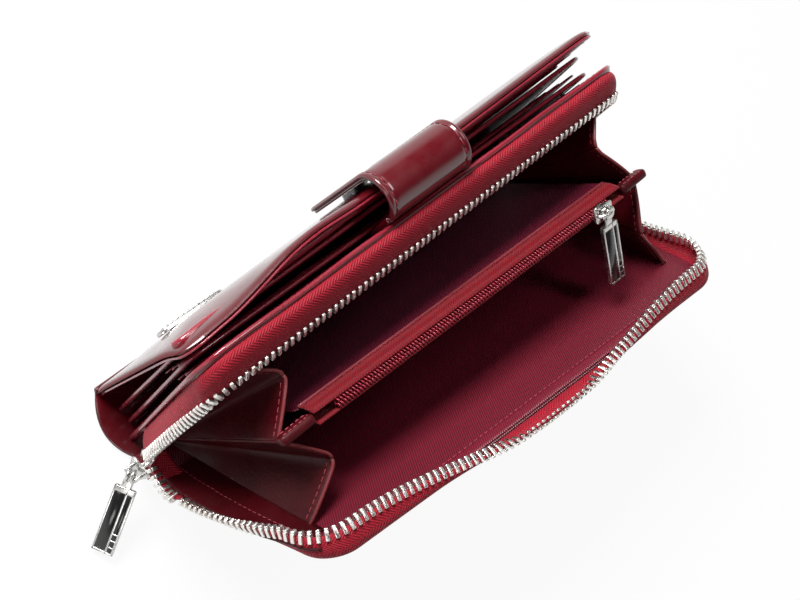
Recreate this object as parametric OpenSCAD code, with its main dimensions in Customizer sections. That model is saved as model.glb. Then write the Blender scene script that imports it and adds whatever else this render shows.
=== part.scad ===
// Long zip-around wallet, standing on its spine with the zip compartment open.
// X runs along the spine towards the zip slider, -Y is the front cover, +Z is up.
// The origin is on the underside of the spine, below the face of the middle wall.

/* [Walls] */
// Length of the leather walls along the spine
wall_len = 190; // [170:1:210]
// Height of the middle wall above the table
wall_h = 94; // [86:1:102]
// Radius of the top corners of the walls
corner_r = 11; // [6:1:16]
// Thickness of the patent leather
leather_t = 1.2; // [0.8:0.1:1.6]
// Thickness of the stiffener boards
board_t = 1; // [0.6:0.1:1.4]
// Thickness of the cloth linings
lining_t = 0.6; // [0.4:0.1:0.8]
// Width of leather that turns over the edge of a stiffener board
turned_edge = 4; // [3:0.5:6]

/* [Spine] */
// Thickness of the spine strip
spine_t = 1.6; // [1.2:0.2:2]
// Depth from the middle wall to the front edge of the spine
spine_front = 21; // [19:0.5:24]
// Depth from the middle wall to the back edge of the spine
spine_back = 11; // [10.6:0.2:12]
// Radius of the spine's two bottom edges
spine_edge_r = 3; // [2.6:0.2:3.4]

/* [Front cover] */
// Height of the front cover above its fold
cover_h = 92; // [86:1:100]
// Inward lean of the cover at the slider end
cover_lean_near = 4.6; // [3.6:0.2:5]
// Inward lean of the cover at the far end
cover_lean_far = 2; // [1:0.2:3]
// Thickness of each card pocket layer
pocket_t = 0.6; // [0.5:0.1:0.8]
// Drop of each card pocket below the one behind it
pocket_step = 9; // [7:1:12]
// Width of the metal badge
badge_w = 26; // [16:1:36]

/* [Pages] */
// Thickness of the two loose pages between cover and middle wall
page_t = 1; // [0.8:0.1:1.2]
// Height of the loose pages
page_h = 82; // [70:1:84]

/* [Closing tab] */
// Width of the closing tab along the spine
tab_w = 36; // [28:1:44]
// Thickness of each of the two tab layers
tab_layer_t = 1.1; // [0.9:0.1:1.3]
// Length of the straight stretch that lies on the front cover
tab_drop = 43; // [36:1:46]
// Inner radius of the tab's arch over the cover and pages
tab_arch_r = 6.4; // [6.4:0.1:7]
// Angle by which the straight stretch stands off the front cover
tab_stand_off = 6; // [5:0.5:7]

/* [Back wall] */
// Height of the back wall above its fold
back_h = 98; // [92:1:104]
// Opening angle of the back wall at the slider end
back_near = 38; // [34:1:40]
// Opening angle of the back wall at the far end
back_far = 51; // [47:1:53]

/* [Coin pocket] */
// Height of the coin pocket above its fold
coin_h = 82; // [76:1:86]
// Half length of the coin pocket at its mouth
coin_half = 72; // [68:1:73]
// How much wider the coin pocket is at its fold than at its mouth, as a share of its length
coin_taper = 0.15; // [0.1:0.01:0.16]
// Opening angle of the coin pocket at the slider end
coin_near = 17.5; // [16:0.5:19]
// Opening angle of the coin pocket at the far end
coin_far = 22.5; // [21:0.5:24]
// Thickness of each cloth side of the coin pocket
coin_cloth_t = 0.6; // [0.4:0.1:0.8]
// Free space between the two sides of the coin pocket at its fold
coin_room = 0.8; // [0.6:0.1:1]
// How much further apart the two sides are at the mouth
coin_spread = 2; // [1:0.2:2.4]
// Diameter of the nylon coil
coil_d = 3; // [2.6:0.2:3.4]

/* [Gussets] */
// Sector angle of the panels sewn to the walls
sector_wall = 16; // [15.5:0.5:18]
// Sector angle of the panels sewn to the coin pocket
sector_ridge = 15; // [14.5:0.5:16]
// Lean of the ridge between the two folds, inwards from the end of the wallet
ridge_lean = 3; // [1:0.5:4]
// Thickness of the folding panels
gusset_t = 0.7; // [0.5:0.1:0.9]
// Room left at each fold between two panels
fold_room = 1.2; // [1.2:0.1:1.4]
// Reach of the folding panels above the fold of the compartment
gusset_reach = 80; // [76:1:80]
// Distance from the ends of the walls to the panels
gusset_inset = 8; // [6:1:10]

/* [Zip] */
// Spacing of the metal teeth along each row
tooth_pitch = 2.52; // [2.4:0.02:2.8]
// Width of a tooth along the row
tooth_w = 1.3; // [1.1:0.1:1.5]
// Height of a tooth across the tape
tooth_h = 2.6; // [2.2:0.1:2.8]
// Length of a tooth out from the tape
tooth_len = 4; // [3.6:0.1:4.4]
// Thickness of the woven tape
tape_t = 0.6; // [0.4:0.1:0.8]
// Distance of the front teeth row behind the middle wall
row_offset = 8.4; // [8:0.2:9]
// Extra reach of the zip past the end of the wallet at the slider
slider_out = 6; // [4:0.5:8]
// Height of the slider above the table
slider_z = 24; // [22:1:28]

/* [Pullers] */
// Width of the puller plates
plate_w = 7.4; // [6:0.2:9]
// Length of the puller plates
plate_len = 23; // [20:1:28]
// Angle by which the outer puller hangs to the side on its bar
puller_skew = 30; // [0:1:35]
// Thickness of the puller plates
plate_t = 1.6; // [1.4:0.1:2]

/* [Hidden] */

half = wall_len / 2;
skin_gap = 0.1;                   // glue line between two layers
clear = 0.3;                      // room between soft pieces that move
fold = [6, 4];                    // [y, z] of the fold line of the compartment
cover_fold = [-spine_front + 0.8, spine_edge_r + clear];
patent = [0.36, 0.02, 0.06];
crimson = [0.55, 0.04, 0.12];
red_tape = [0.78, 0.07, 0.14];
silver = [0.8, 0.8, 0.82];
enamel = [0.03, 0.03, 0.03];

// ---- vectors -------------------------------------------------------------
function unit(v) = v / norm(v);
function mix(a, b, t) = a + (b - a) * t;

// A point of a wall that turns about the fold line: x along the spine, v up the wall from
// the fold and w along the wall's normal, which points away from the front cover.
function wall_angle(angles, x) = mix(angles[0], angles[1], (half - x) / (2 * half));
function wall_point(line, angles, x, v, w) =
    let (a = wall_angle(angles, x))
    [x, line[0] + v * sin(a) + w * cos(a), line[1] + v * cos(a) - w * sin(a)];

// Puts its children into a frame with its origin at p and the axes ex, ey and ez.
module in_frame(p, ex, ey, ez)
    translate(p)
        rotate([atan2(ey[2], ez[2]), asin(-ex[2]), atan2(ex[1], ex[0])])
            children();

// ---- sheets --------------------------------------------------------------
// The columns of a sheet with two rounded top corners: [x, height] from far end to near end.
function columns(len_half, high, r, arcs = 5, spans = 14) =
    let (
        turn = [for (i = [0:arcs]) [r * cos(90 * i / arcs), high - r + r * sin(90 * i / arcs)]],
        far = [for (i = [0:arcs]) [-len_half + r - turn[i][0], turn[i][1]]],
        mid = [for (i = [1:spans - 1]) [mix(-len_half + r, len_half - r, i / spans), high]],
        near = [for (i = [arcs:-1:0]) [len_half - r + turn[i][0], turn[i][1]]]
    )
    concat(far, mid, near);

// A twisted sheet between two distances w0 < w1 from the surface of a turning wall. It may
// taper, wider at its foot, and may spread away from the surface towards its top.
module sheet(line, angles, len_half, low, high, r, w0, w1, taper = 0, spread = 0, rows = 4) {
    cols = columns(len_half, high, r);
    n = len(cols);
    m = rows + 1;
    function id(side, i, j) = side * n * m + i * m + j;
    points = [for (w = [w0, w1], c = cols, j = [0:rows])
        let (v = mix(low, c[1], j / rows))
            wall_point(line, angles, c[0] * (1 + taper * (1 - v / high)), v, w + spread * v / high)];
    function quad(a, b, c, d) = [[a, b, c], [a, c, d]];
    front = [for (i = [0:n - 2], j = [0:rows - 1])
        each quad(id(0, i, j), id(0, i, j + 1), id(0, i + 1, j + 1), id(0, i + 1, j))];
    back = [for (i = [0:n - 2], j = [0:rows - 1])
        each quad(id(1, i, j), id(1, i + 1, j), id(1, i + 1, j + 1), id(1, i, j + 1))];
    bottom = [for (i = [0:n - 2]) each quad(id(0, i, 0), id(0, i + 1, 0), id(1, i + 1, 0), id(1, i, 0))];
    top = [for (i = [0:n - 2])
        each quad(id(0, i, rows), id(1, i, rows), id(1, i + 1, rows), id(0, i + 1, rows))];
    ends = [for (j = [0:rows - 1]) each concat(
        quad(id(0, 0, j), id(1, 0, j), id(1, 0, j + 1), id(0, 0, j + 1)),
        quad(id(0, n - 1, j), id(0, n - 1, j + 1), id(1, n - 1, j + 1), id(1, n - 1, j)))];
    polyhedron(points, concat(front, back, bottom, top, ends), convexity = 4);
}

// A flat plate in the XZ plane with rounded top corners, from y0 to y1.
module flat_plate(len_half, low, high, r, y0, y1)
    translate([0, y1, 0])
        rotate([90, 0, 0])
            linear_extrude(y1 - y0)
                polygon(concat([[len_half, low], [-len_half, low]], columns(len_half, high, r, 8, 2)));

// ---- zip -----------------------------------------------------------------
// Both halves of the zip follow the edge of their wall, from the slider round to the far end.
// Stations are [x, v, w] in the frame of the wall.
zip_steps = 12;
arc_steps = 6;
function rim(len_half, low, high, r, flare, w_low, w_end, w_mid, lift = 0) =
    let (
        straight = high - r - low,
        out = function (s, t) s > 0 ? flare * (1 - t * t) : 0,
        side = function (s, t) [s * (len_half + out(s, t)), low + straight * t, mix(w_low, w_end, t * t)],
        arc = function (s, a) [s * (len_half - r + r * cos(a)), high - r + r * sin(a), w_end],
        swell = function (t) sin(180 * t) * sin(180 * t)
    )
    concat(
        [for (i = [0:zip_steps]) side(1, i / zip_steps)],
        [for (i = [1:arc_steps]) arc(1, 90 * i / arc_steps)],
        [for (i = [1:2 * zip_steps - 1]) let (t = i / (2 * zip_steps))
            [mix(len_half - r, r - len_half, t), high + lift * swell(t), mix(w_end, w_mid, swell(t))]],
        [for (i = [arc_steps:-1:1]) arc(-1, 90 * i / arc_steps)],
        [for (i = [zip_steps:-1:0]) side(-1, i / zip_steps)]);

// The cross direction of a strip at station i and the strip's normal there.
function tangent(line, i) = unit(line[min(i + 1, len(line) - 1)] - line[max(i - 1, 0)]);
function strip_normal(base, edge, i) = unit(cross(tangent(edge, i), edge[i] - base[i]));

// A strip of cloth between a sewn line and a free edge.
module strip(base, edge, t) {
    n = len(base);
    points = [for (i = [0:n - 1]) let (m = strip_normal(base, edge, i) * t / 2)
        each [base[i] - m, base[i] + m, edge[i] + m, edge[i] - m]];
    sides = [for (i = [0:n - 2], k = [0:3]) let (a = 4 * i + k, b = 4 * i + (k + 1) % 4)
        each [[a, b, b + 4], [a, b + 4, a + 4]]];
    caps = [[3, 2, 1], [3, 1, 0], [4 * n - 4, 4 * n - 3, 4 * n - 2], [4 * n - 4, 4 * n - 2, 4 * n - 1]];
    polyhedron(points, concat(sides, caps), convexity = 6);
}

// One tooth: two legs clamped on the edge of the tape and a head with a bevelled nose.
leg = 1.6;
tooth_fit = 0.08;                 // room between the legs of a tooth and the tape
module tooth() {
    side = tooth_h / 2;
    grip = tape_t / 2 + tooth_fit;
    nose = tooth_len - leg;
    bevel = 0.8;
    tip = side * 0.55;
    upper = [[tooth_fit, grip], [-leg, grip], [-leg, side], [nose - bevel, side], [nose, tip]];
    translate([0, tooth_w / 2, 0])
        rotate([90, 0, 0])
            linear_extrude(tooth_w)
                polygon(concat(upper, [for (i = [len(upper) - 1:-1:0]) [upper[i][0], -upper[i][1]]]));
}

// Teeth at an even pitch along the free edge of a strip.
module teeth_row(base, edge, start) {
    n = len(edge);
    steps = [for (i = [0:n - 2]) norm(edge[i + 1] - edge[i])];
    run = [for (i = 0, s = 0; i < n; s = s + (i < n - 1 ? steps[i] : 0), i = i + 1) s];
    last = run[n - 1];
    for (d = [start:tooth_pitch:last - tooth_w]) {
        i = max([for (k = [0:n - 2]) if (run[k] <= d) k]);
        t = (d - run[i]) / steps[i];
        p = mix(edge[i], edge[i + 1], t);
        along = unit(edge[i + 1] - edge[i]);
        across = mix(edge[i] - base[i], edge[i + 1] - base[i + 1], t);
        normal = unit(cross(along, across));
        in_frame(p, cross(normal, along), along, -normal) tooth();
    }
}

// Front half of the zip, on the middle wall, which stands upright.
sewn_inset = turned_edge;
front_base = [for (s = rim(half - sewn_inset, slider_z - 2, wall_h - sewn_inset, corner_r, 0, 0, 0, 0))
    [s[0], lining_t + board_t + 2 * skin_gap + tape_t, s[1]]];
row_drop = 7;
front_edge = [for (s = rim(half, slider_z, wall_h - row_drop, corner_r, slider_out,
    row_offset, row_offset, row_offset)) [s[0], s[2], s[1]]];

// Back half of the zip, on the back wall.
back_angles = [back_near, back_far];
back_in = 6.5;
back_droop = 3.4;
back_drop = 2.5;
back_lift = 5.3;
back_sewn_inset = 2.5;
back_start = 34;
function on_back(s) = wall_point(fold, back_angles, s[0], s[1], s[2]);
back_low_in = 1;
back_sewn_w = -0.9;
back_base = [for (s = rim(half - sewn_inset, back_start - 4, back_h - back_sewn_inset, corner_r, 0,
    back_sewn_w, back_sewn_w, back_sewn_w)) on_back(s)];
back_edge = [for (s = rim(half + 2, back_start, back_h - back_drop, corner_r + 3, slider_out,
    -back_low_in, -back_in, back_droop, back_lift)) on_back(s)];

// ---- middle wall, spine and compartment floor -----------------------------
lining_y = board_t + 2 * skin_gap;
lining_face = lining_y + lining_t;
wall_foot = spine_t + clear;

// Cross-section of the spine: a flat strip with two upturned edges.
module spine() {
    r = spine_edge_r;
    y0 = -spine_front + r;
    y1 = spine_back - r;
    outer = concat(
        [for (a = [180:15:270]) [y0 + r * cos(a), r + r * sin(a)]],
        [for (a = [270:15:360]) [y1 + r * cos(a), r + r * sin(a)]]);
    q = r - spine_t;
    inner = concat(
        [for (a = [360:-15:270]) [y1 + q * cos(a), r + q * sin(a)]],
        [for (a = [270:-15:180]) [y0 + q * cos(a), r + q * sin(a)]]);
    color(patent)
        rotate([90, 0, 90])
            linear_extrude(wall_len, center = true)
                polygon(concat(outer, inner));
}

module middle_wall()
    color(patent)
        flat_plate(half, wall_foot, wall_h, corner_r, -leather_t, 0);

module middle_board()
    color("dimgray")
        flat_plate(half - turned_edge, wall_foot, wall_h - turned_edge, corner_r,
            skin_gap, skin_gap + board_t);

module middle_lining()
    color(crimson)
        flat_plate(half - 1, wall_foot, wall_h - 1, corner_r, lining_y, lining_face);

// The floor carries a bead along the fold line, round which the coin pocket and the back wall
// turn.
floor_t = 0.5;
bead_r = 0.9;
module compartment_floor()
    color(crimson) {
        translate([-half + 1, lining_face + skin_gap, spine_t + skin_gap])
            cube([wall_len - 2, spine_back - spine_edge_r - lining_face - skin_gap, floor_t]);
        translate([-half + 1, fold[0] - bead_r / 2, spine_t + skin_gap])
            cube([wall_len - 2, bead_r, fold[1] - spine_t - skin_gap]);
        translate([-half + 1, fold[0], fold[1]])
            rotate([0, 90, 0]) cylinder(h = wall_len - 2, r = bead_r, $fn = 32);
    }

// ---- zip on the middle wall ------------------------------------------------
module zip_tape_front()
    color(red_tape) strip(front_base, front_edge, tape_t);

module zip_teeth_front()
    color(silver) teeth_row(front_base, front_edge, tooth_pitch / 2);

// The short stretch of the back half between the slider and the back wall bends as the wall
// closes. It starts beside the front row and ends at the first station of the back row.
bend_steps = 8;
bend_edge = [for (i = [0:bend_steps]) let (t = i / bend_steps)
    mix(front_edge[0] + [0.6, tooth_h + 2 * clear, 0], back_edge[0], 0.97 * sin(90 * t))
        + [0.6, -0.5, -4] * sin(180 * t)];
bend_base = [for (i = [0:bend_steps]) let (t = i / bend_steps)
    mix([half - 1, fold[0] + 4, slider_z - 2], back_base[0], 0.97 * t) + [0, 0, -2 * sin(180 * t)]];

module zip_tape_bend()
    color(red_tape) strip(bend_base, bend_edge, tape_t);

module zip_teeth_bend()
    color(silver) teeth_row(bend_base, bend_edge, tooth_pitch / 2);

// Slider frame: origin on the zip between the two rows, z out of the end of the wallet,
// x up along the zip.
slider_up = unit(front_edge[1] - front_edge[0]);
slider_face = unit(cross(slider_up, [0, 1, 0]) * -1);
slider_side = cross(slider_face, slider_up);
slider_at = front_edge[0] + [0.3, tooth_h / 2 + clear, -7];
slider_len = 10;
slider_half_w = 4.4;
slider_gap = tooth_h + 2 * clear;
slider_plate = 1;

// Outline of one slider plate: narrow throat below, two shoulders above.
module slider_outline(length, half_w)
    polygon([
        for (side = [1, -1], p = side > 0
            ? [[-0.5, 0.62], [-0.36, 0.72], [0.1, 0.8], [0.34, 1], [0.46, 0.84], [0.5, 0.4]]
            : [[0.42, 0], [0.5, 0.4], [0.46, 0.84], [0.34, 1], [0.1, 0.8], [-0.36, 0.72], [-0.5, 0.62]])
            [p[0] * length, side * p[1] * half_w]]);

// The hinge bar for a puller, across the slider and on two posts over its upper plate.
bar_r = 0.8;
bar_rise = 2.7;
bar_len = 5.6;
post_w = 1;
module crown(plate) {
    for (side = [-1, 1])
        translate([-bar_r, side * (bar_len - post_w) / 2 - post_w / 2, -plate / 2])
            cube([2 * bar_r, post_w, plate / 2 + bar_rise]);
    translate([0, bar_len / 2, bar_rise])
        rotate([90, 0, 0]) cylinder(h = bar_len, r = bar_r, $fn = 32);
}

// A slider for metal teeth: two plates joined by a post where the rows part.
module slider(length, half_w, gap, plate) {
    for (side = [-1, 1])
        translate([0, 0, side > 0 ? gap / 2 : -gap / 2 - plate])
            linear_extrude(plate) slider_outline(length, half_w);
    translate([length * 0.28, 0, -gap / 2 - plate / 2])
        linear_extrude(gap + plate)
            polygon([[length * 0.18, 0], [0, 1], [-length * 0.16, 0], [0, -1]]);
    translate([0, 0, gap / 2 + plate]) crown(plate);
}

module zip_slider()
    color(silver)
        in_frame(slider_at, slider_up, slider_side, slider_face)
            slider(slider_len, slider_half_w, slider_gap, slider_plate);

// Puller in its own frame: eye at the origin, plate along +x, face along +z. Its eye is turned
// by the given rotation from the z axis.
swivel_r = 0.9;
cap_t = 0.7;
eye_r = 2.1;
eye_bore = max(bar_r, swivel_r) + clear;
eye_w = bar_len - 2 * post_w - 0.8;
plate_start = 4.4;
border = 0.7;
enamel_t = 0.5;
module puller_frame(turn, eye_h) {
    difference() {
        union() {
            rotate(turn) cylinder(h = eye_h, r = eye_r, center = true, $fn = 48);
            translate([eye_bore, -eye_w / 2, -plate_t / 2])
                cube([plate_start, eye_w, plate_t]);
            translate([plate_start, -plate_w / 2, -plate_t / 2])
                cube([plate_len, plate_w, plate_t]);
        }
        rotate(turn) cylinder(h = 2 * plate_w, r = eye_bore, center = true, $fn = 48);
        for (f = enamel_fields())
            translate([f[0], f[1], plate_t / 2 - enamel_t]) cube([f[2], f[3], plate_t]);
    }
}

// Two enamel fields, a wide one and a narrow one with three small steps at its end:
// [x, y, length, width].
narrow_w = 1.5;
function enamel_fields() =
    let (
        x0 = plate_start + border,
        wide = plate_w - 3 * border - narrow_w,
        y1 = plate_w / 2 - border - narrow_w,
        dash = 1.6
    )
    concat(
        [[x0 + 1.4, -plate_w / 2 + border, plate_len - 2 * border - 1.4, wide]],
        [[x0 + 1.4, y1, plate_len - 2 * border - 1.4 - 3 * (dash + border), narrow_w]],
        [for (i = [1:3]) [plate_start + plate_len - i * (dash + border), y1, dash, narrow_w]]);

module puller_enamel()
    for (f = enamel_fields())
        translate([f[0], f[1], plate_t / 2 - enamel_t]) cube([f[2], f[3], enamel_t]);

// The outer puller hangs askew on its bar and leans on the table with one corner of its tip.
zip_pivot = slider_at + slider_face * (slider_gap / 2 + slider_plate + bar_rise);
puller_reach = (plate_start + plate_len) * cos(puller_skew) + plate_w / 2 * sin(puller_skew);
zip_puller_tilt = asin((zip_pivot[2] - plate_t) / puller_reach);
module at_zip_puller()
    translate(zip_pivot) rotate([0, zip_puller_tilt, 0]) rotate([0, 0, puller_skew]) children();

module zip_puller_frame()
    color(silver) at_zip_puller() puller_frame([90, 0, -puller_skew], eye_w);

module zip_puller_enamel()
    color(enamel) at_zip_puller() puller_enamel();

// The closed tail of the zip, sewn down below the slider, with its bottom stop.
tail_w = 9;
module zip_tail() {
    top = slider_at - slider_up * (slider_len / 2 + clear);
    foot = [half + 0.6, slider_at[1], 1];
    line = unit(top - foot);
    face = cross(line, [0, 1, 0]) * -1;
    color(red_tape)
        in_frame(foot, line, cross(face, line), face)
            translate([0, -tail_w / 2, -tape_t / 2])
                cube([norm(top - foot), tail_w, tape_t]);
    color(silver)
        in_frame(top - line * 3, line, cross(face, line), face)
            for (side = [-1, 1])
                translate([0, -2, side > 0 ? tape_t / 2 : -tape_t / 2 - 1]) cube([2.4, 4, 1]);
}

// ---- front cover -----------------------------------------------------------
cover_angles = [cover_lean_near, cover_lean_far];
cover_r = 8;
board_w = leather_t + skin_gap;
cover_lining_w = board_w + board_t + skin_gap;
function pocket_w(i) = cover_lining_w + lining_t + skin_gap + i * (pocket_t + skin_gap);
cover_foot = 0.4;

module cover_shell()
    color(patent)
        sheet(cover_fold, cover_angles, half, cover_foot, cover_h, cover_r, 0, leather_t);

module cover_board()
    color("dimgray")
        sheet(cover_fold, cover_angles, half - turned_edge, turned_edge, cover_h - turned_edge, cover_r,
            board_w, board_w + board_t);

module cover_lining()
    color(patent)
        sheet(cover_fold, cover_angles, half - 1, cover_foot + 1, cover_h - 1, cover_r,
            cover_lining_w, cover_lining_w + lining_t);

module card_pocket(i)
    color(patent)
        sheet(cover_fold, cover_angles, half - 2 - i * 0.5, cover_foot + 2,
            cover_h - pocket_step * (i + 0.6), 3, pocket_w(i), pocket_w(i) + pocket_t);

module card_pocket_back() card_pocket(0);
module card_pocket_middle() card_pocket(1);
module card_pocket_front() card_pocket(2);

// A frame on the outer face of the cover at x and v: z points out of the face.
module on_cover(x, v) {
    a = wall_angle(cover_angles, x);
    in_frame(wall_point(cover_fold, cover_angles, x, v, 0),
        [1, 0, 0], [0, sin(a), cos(a)], [0, -cos(a), sin(a)]) children();
}

badge_h = 6;
badge_t = 1.2;
badge_x = 70;
badge_v = 48.6;
module badge()
    color(silver)
        on_cover(badge_x, badge_v)
            translate([0, 0, 0.15])
                difference() {
                    linear_extrude(badge_t) stadium(badge_w, badge_h);
                    translate([0, 0, badge_t - 0.4])
                        linear_extrude(badge_t) stadium(badge_w - 1.6, badge_h - 1.6);
                }

module stadium(length, width) {
    square([length - width, width], center = true);
    for (side = [-1, 1])
        translate([side * (length - width) / 2, 0]) circle(d = width, $fn = 48);
}

snap_v = 55.6;
stud_r = 5;
stud_t = 1.1;
module snap_stud()
    color(silver)
        on_cover(0, snap_v)
            translate([0, 0, skin_gap / 2]) {
                cylinder(h = stud_t * 0.5, r = stud_r, $fn = 64);
                cylinder(h = stud_t, r = stud_r * 0.45, $fn = 48);
            }

// ---- loose pages -----------------------------------------------------------
front_page_fold = [-10.8, spine_t + clear];
back_page_fold = [-5.6, spine_t + clear];
front_page_angles = [1.4, 0.2];
back_page_angles = [0.4, 0.8];

module page_front()
    color(patent)
        sheet(front_page_fold, front_page_angles, half - 3, 0, page_h, 6, 0, page_t);

module page_back()
    color(patent)
        sheet(back_page_fold, back_page_angles, half - 3, 0, page_h - 2, 6, 0, page_t);

// ---- closing tab -----------------------------------------------------------
// The tab folds at the top of the middle wall, or higher where the cover is taller, so that its
// arch clears the top of the cover.
arch_dip = 0.8;
tab_fold = [-leather_t - clear - tab_layer_t, max(wall_h + 0.5, cover_fold[1] + cover_h - arch_dip)];
arch_y = tab_fold[0] - tab_layer_t - tab_arch_r;
arch_end = 180 - tab_stand_off;
function tab_path(r, length) = concat(
    [for (t = [0:6:arch_end]) [arch_y + r * cos(t), tab_fold[1] + r * sin(t)]],
    [[arch_y + r * cos(arch_end) - length * sin(arch_end),
        tab_fold[1] + r * sin(arch_end) + length * cos(arch_end)]]);
function reversed(list) = [for (i = [len(list) - 1:-1:0]) list[i]];

// One layer of the tab between two radii of the arch, with a rounded tip.
tab_tip_r = 9;
module tab_layer(r0, r1, half_w, length) {
    r = tab_tip_r;
    high = tab_fold[1] + 3 * tab_arch_r;
    low = tab_fold[1] + length * cos(arch_end);
    left = [for (a = [180:10:270]) [-half_w + r + r * cos(a), low + r + r * sin(a)]];
    intersection() {
        rotate([90, 0, 90])
            linear_extrude(2 * half_w, center = true)
                polygon(concat(tab_path(r0, length), reversed(tab_path(r1, length))));
        translate([0, arch_y + 3 * tab_arch_r, 0])
            rotate([90, 0, 0])
                linear_extrude(8 * tab_arch_r)
                    polygon(concat([[half_w, high], [-half_w, high]], left,
                        [for (p = reversed(left)) [-p[0], p[1]]]));
    }
}

module tab_outer()
    color(patent)
        tab_layer(tab_arch_r + tab_layer_t + 0.05, tab_arch_r + 2 * tab_layer_t, tab_w / 2, tab_drop);

module tab_inner()
    color(patent)
        tab_layer(tab_arch_r, tab_arch_r + tab_layer_t, tab_w / 2 - 0.5, tab_drop - 0.5);

// The root of the tab, sewn on the front face of the middle wall.
tab_root_h = 14;
module tab_root()
    color(patent)
        translate([-tab_w / 2, -leather_t - skin_gap - 2 * tab_layer_t, wall_h - tab_root_h])
            cube([tab_w, 2 * tab_layer_t, tab_fold[1] - 0.5 - wall_h + tab_root_h]);

socket_t = 1.2;
module snap_socket() {
    run = tab_fold[1] - (cover_fold[1] + snap_v * cos(wall_angle(cover_angles, 0)));
    r = tab_arch_r;
    color(silver)
        translate([0, arch_y + r * cos(arch_end), tab_fold[1] + r * sin(arch_end)])
            rotate([-tab_stand_off, 0, 0])
                translate([0, skin_gap / 2, -run])
                    rotate([-90, 0, 0])
                        difference() {
                            cylinder(h = socket_t, r = stud_r, $fn = 64);
                            translate([0, 0, socket_t - 0.7])
                                cylinder(h = 1, r = stud_r * 0.45 + clear, $fn = 48);
                        }
}

// ---- back wall -------------------------------------------------------------
back_lining_w = 0.7;
back_board_w = back_lining_w + lining_t + skin_gap;
back_shell_w = back_board_w + board_t + skin_gap;
back_foot = 3.6;

module back_shell()
    color(patent)
        sheet(fold, back_angles, half, back_foot, back_h, corner_r, back_shell_w, back_shell_w + leather_t);

module back_board()
    color("dimgray")
        sheet(fold, back_angles, half - turned_edge, back_foot + turned_edge, back_h - turned_edge,
            corner_r, back_board_w, back_board_w + board_t);

module back_lining()
    color(crimson)
        sheet(fold, back_angles, half - 1, back_foot + 1, back_h - 1.8, corner_r,
            back_lining_w, back_lining_w + lining_t);

module zip_tape_back()
    color(red_tape) strip(back_base, back_edge, tape_t);

module zip_teeth_back()
    color(silver) teeth_row(back_base, back_edge, tooth_pitch);

// ---- coin pocket -----------------------------------------------------------
coin_angles = [coin_near, coin_far];
coin_mid = -1.4;
coin_foot = bead_r + clear;
zip_band = 7;
coin_front_w = coin_mid - coin_room / 2 - coin_cloth_t;
coin_back_w = coin_mid + coin_room / 2;
back_share = 0.3;
front_spread = -coin_spread * (1 - back_share);
back_spread = coin_spread * back_share;

module coin_side(w, spread)
    color(crimson)
        sheet(fold, coin_angles, coin_half, coin_foot, coin_h - zip_band + 0.3, 2, w, w + coin_cloth_t,
            coin_taper, spread);

module coin_side_front() coin_side(coin_front_w, front_spread);
module coin_side_back() coin_side(coin_back_w, back_spread);

// The nylon zip closes the mouth: a tape on each side, and the coil between them.
coil_w = coin_mid + back_spread + 0.6;
band_steps = 12;
function on_coin(x, v, w) = wall_point(fold, coin_angles, x, v, w);
function coin_line(len_half, v, w) =
    [for (i = [0:band_steps]) on_coin(mix(len_half, -len_half, i / band_steps), v, w)];
coin_tape_half = coin_half - 1;

module coin_zip_tape() {
    sewn = [
        coin_front_w + front_spread - skin_gap - tape_t / 2,
        coin_back_w + back_spread + coin_cloth_t + skin_gap + tape_t / 2];
    beside = coil_d / 2 + tape_t / 2 + 0.1;
    color(red_tape)
        for (i = [0, 1])
            strip(coin_line(coin_tape_half, coin_h - zip_band, sewn[i]),
                coin_line(coin_tape_half, coin_h, coil_w + (i == 0 ? -beside : beside)), tape_t);
}

coil_near = on_coin(coin_tape_half - 8, coin_h, coil_w);
coil_far = on_coin(-coin_tape_half + 8, coin_h, coil_w);
coil_dir = unit(coil_near - coil_far);
coil_level = unit(cross([0, 0, 1], coil_dir));
module coin_zip_coil()
    color(red_tape)
        in_frame(coil_far, coil_dir, coil_level, cross(coil_dir, coil_level))
            rotate([0, 90, 0]) cylinder(h = norm(coil_near - coil_far), d = coil_d, $fn = 32);

// Leather ends folded over the two ends of the zip.
end_len = 13;
end_h = 5;
end_t = 4.6;
end_drop = 1;
end_lap = 0.6;
module coin_end(x) {
    a = wall_angle(coin_angles, x);
    color(patent)
        in_frame(on_coin(x, coin_h - end_drop, coil_w - 0.7),
            [1, 0, 0], [0, cos(a), -sin(a)], [0, sin(a), cos(a)])
            translate([0, end_t / 2, 0])
                rotate([90, 0, 0])
                    linear_extrude(end_t) stadium(end_len, end_h);
}
module coin_end_near() coin_end(coin_half + end_len / 2 - end_lap);
module coin_end_far() coin_end(-coin_half - end_len / 2 + end_lap);

// Coin slider frame: origin on the coil, x along it, z out of the face, which is turned
// towards the back wall. Its hinge bar lies along the zip, so its puller hangs sideways.
coin_rest_x = -58;
coin_turn = 17;
coin_plate = 1;
coin_at = mix(coil_far, coil_near, (coin_rest_x - coil_far[0]) / (coil_near[0] - coil_far[0]));
coin_a = wall_angle(coin_angles, coin_rest_x);
coin_up_raw = [0, sin(coin_a + coin_turn), cos(coin_a + coin_turn)];
coin_side_dir = unit(cross(coin_up_raw, coil_dir));
coin_face = cross(coil_dir, coin_side_dir);
module at_coin_slider()
    in_frame(coin_at, coil_dir, coin_side_dir, coin_face) children();

module coin_slider()
    color(silver)
        at_coin_slider()
            translate([0, 0, coil_d / 2 + clear]) {
                linear_extrude(coin_plate) slider_outline(9, 3.2);
                translate([0, 0, coin_plate / 2])
                    cylinder(h = coin_plate / 2 + plate_t + 2 * clear + cap_t / 2, r = swivel_r, $fn = 32);
                translate([0, 0, coin_plate + plate_t + 2 * clear])
                    cylinder(h = cap_t, r = swivel_r + 1, $fn = 32);
            }

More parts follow.
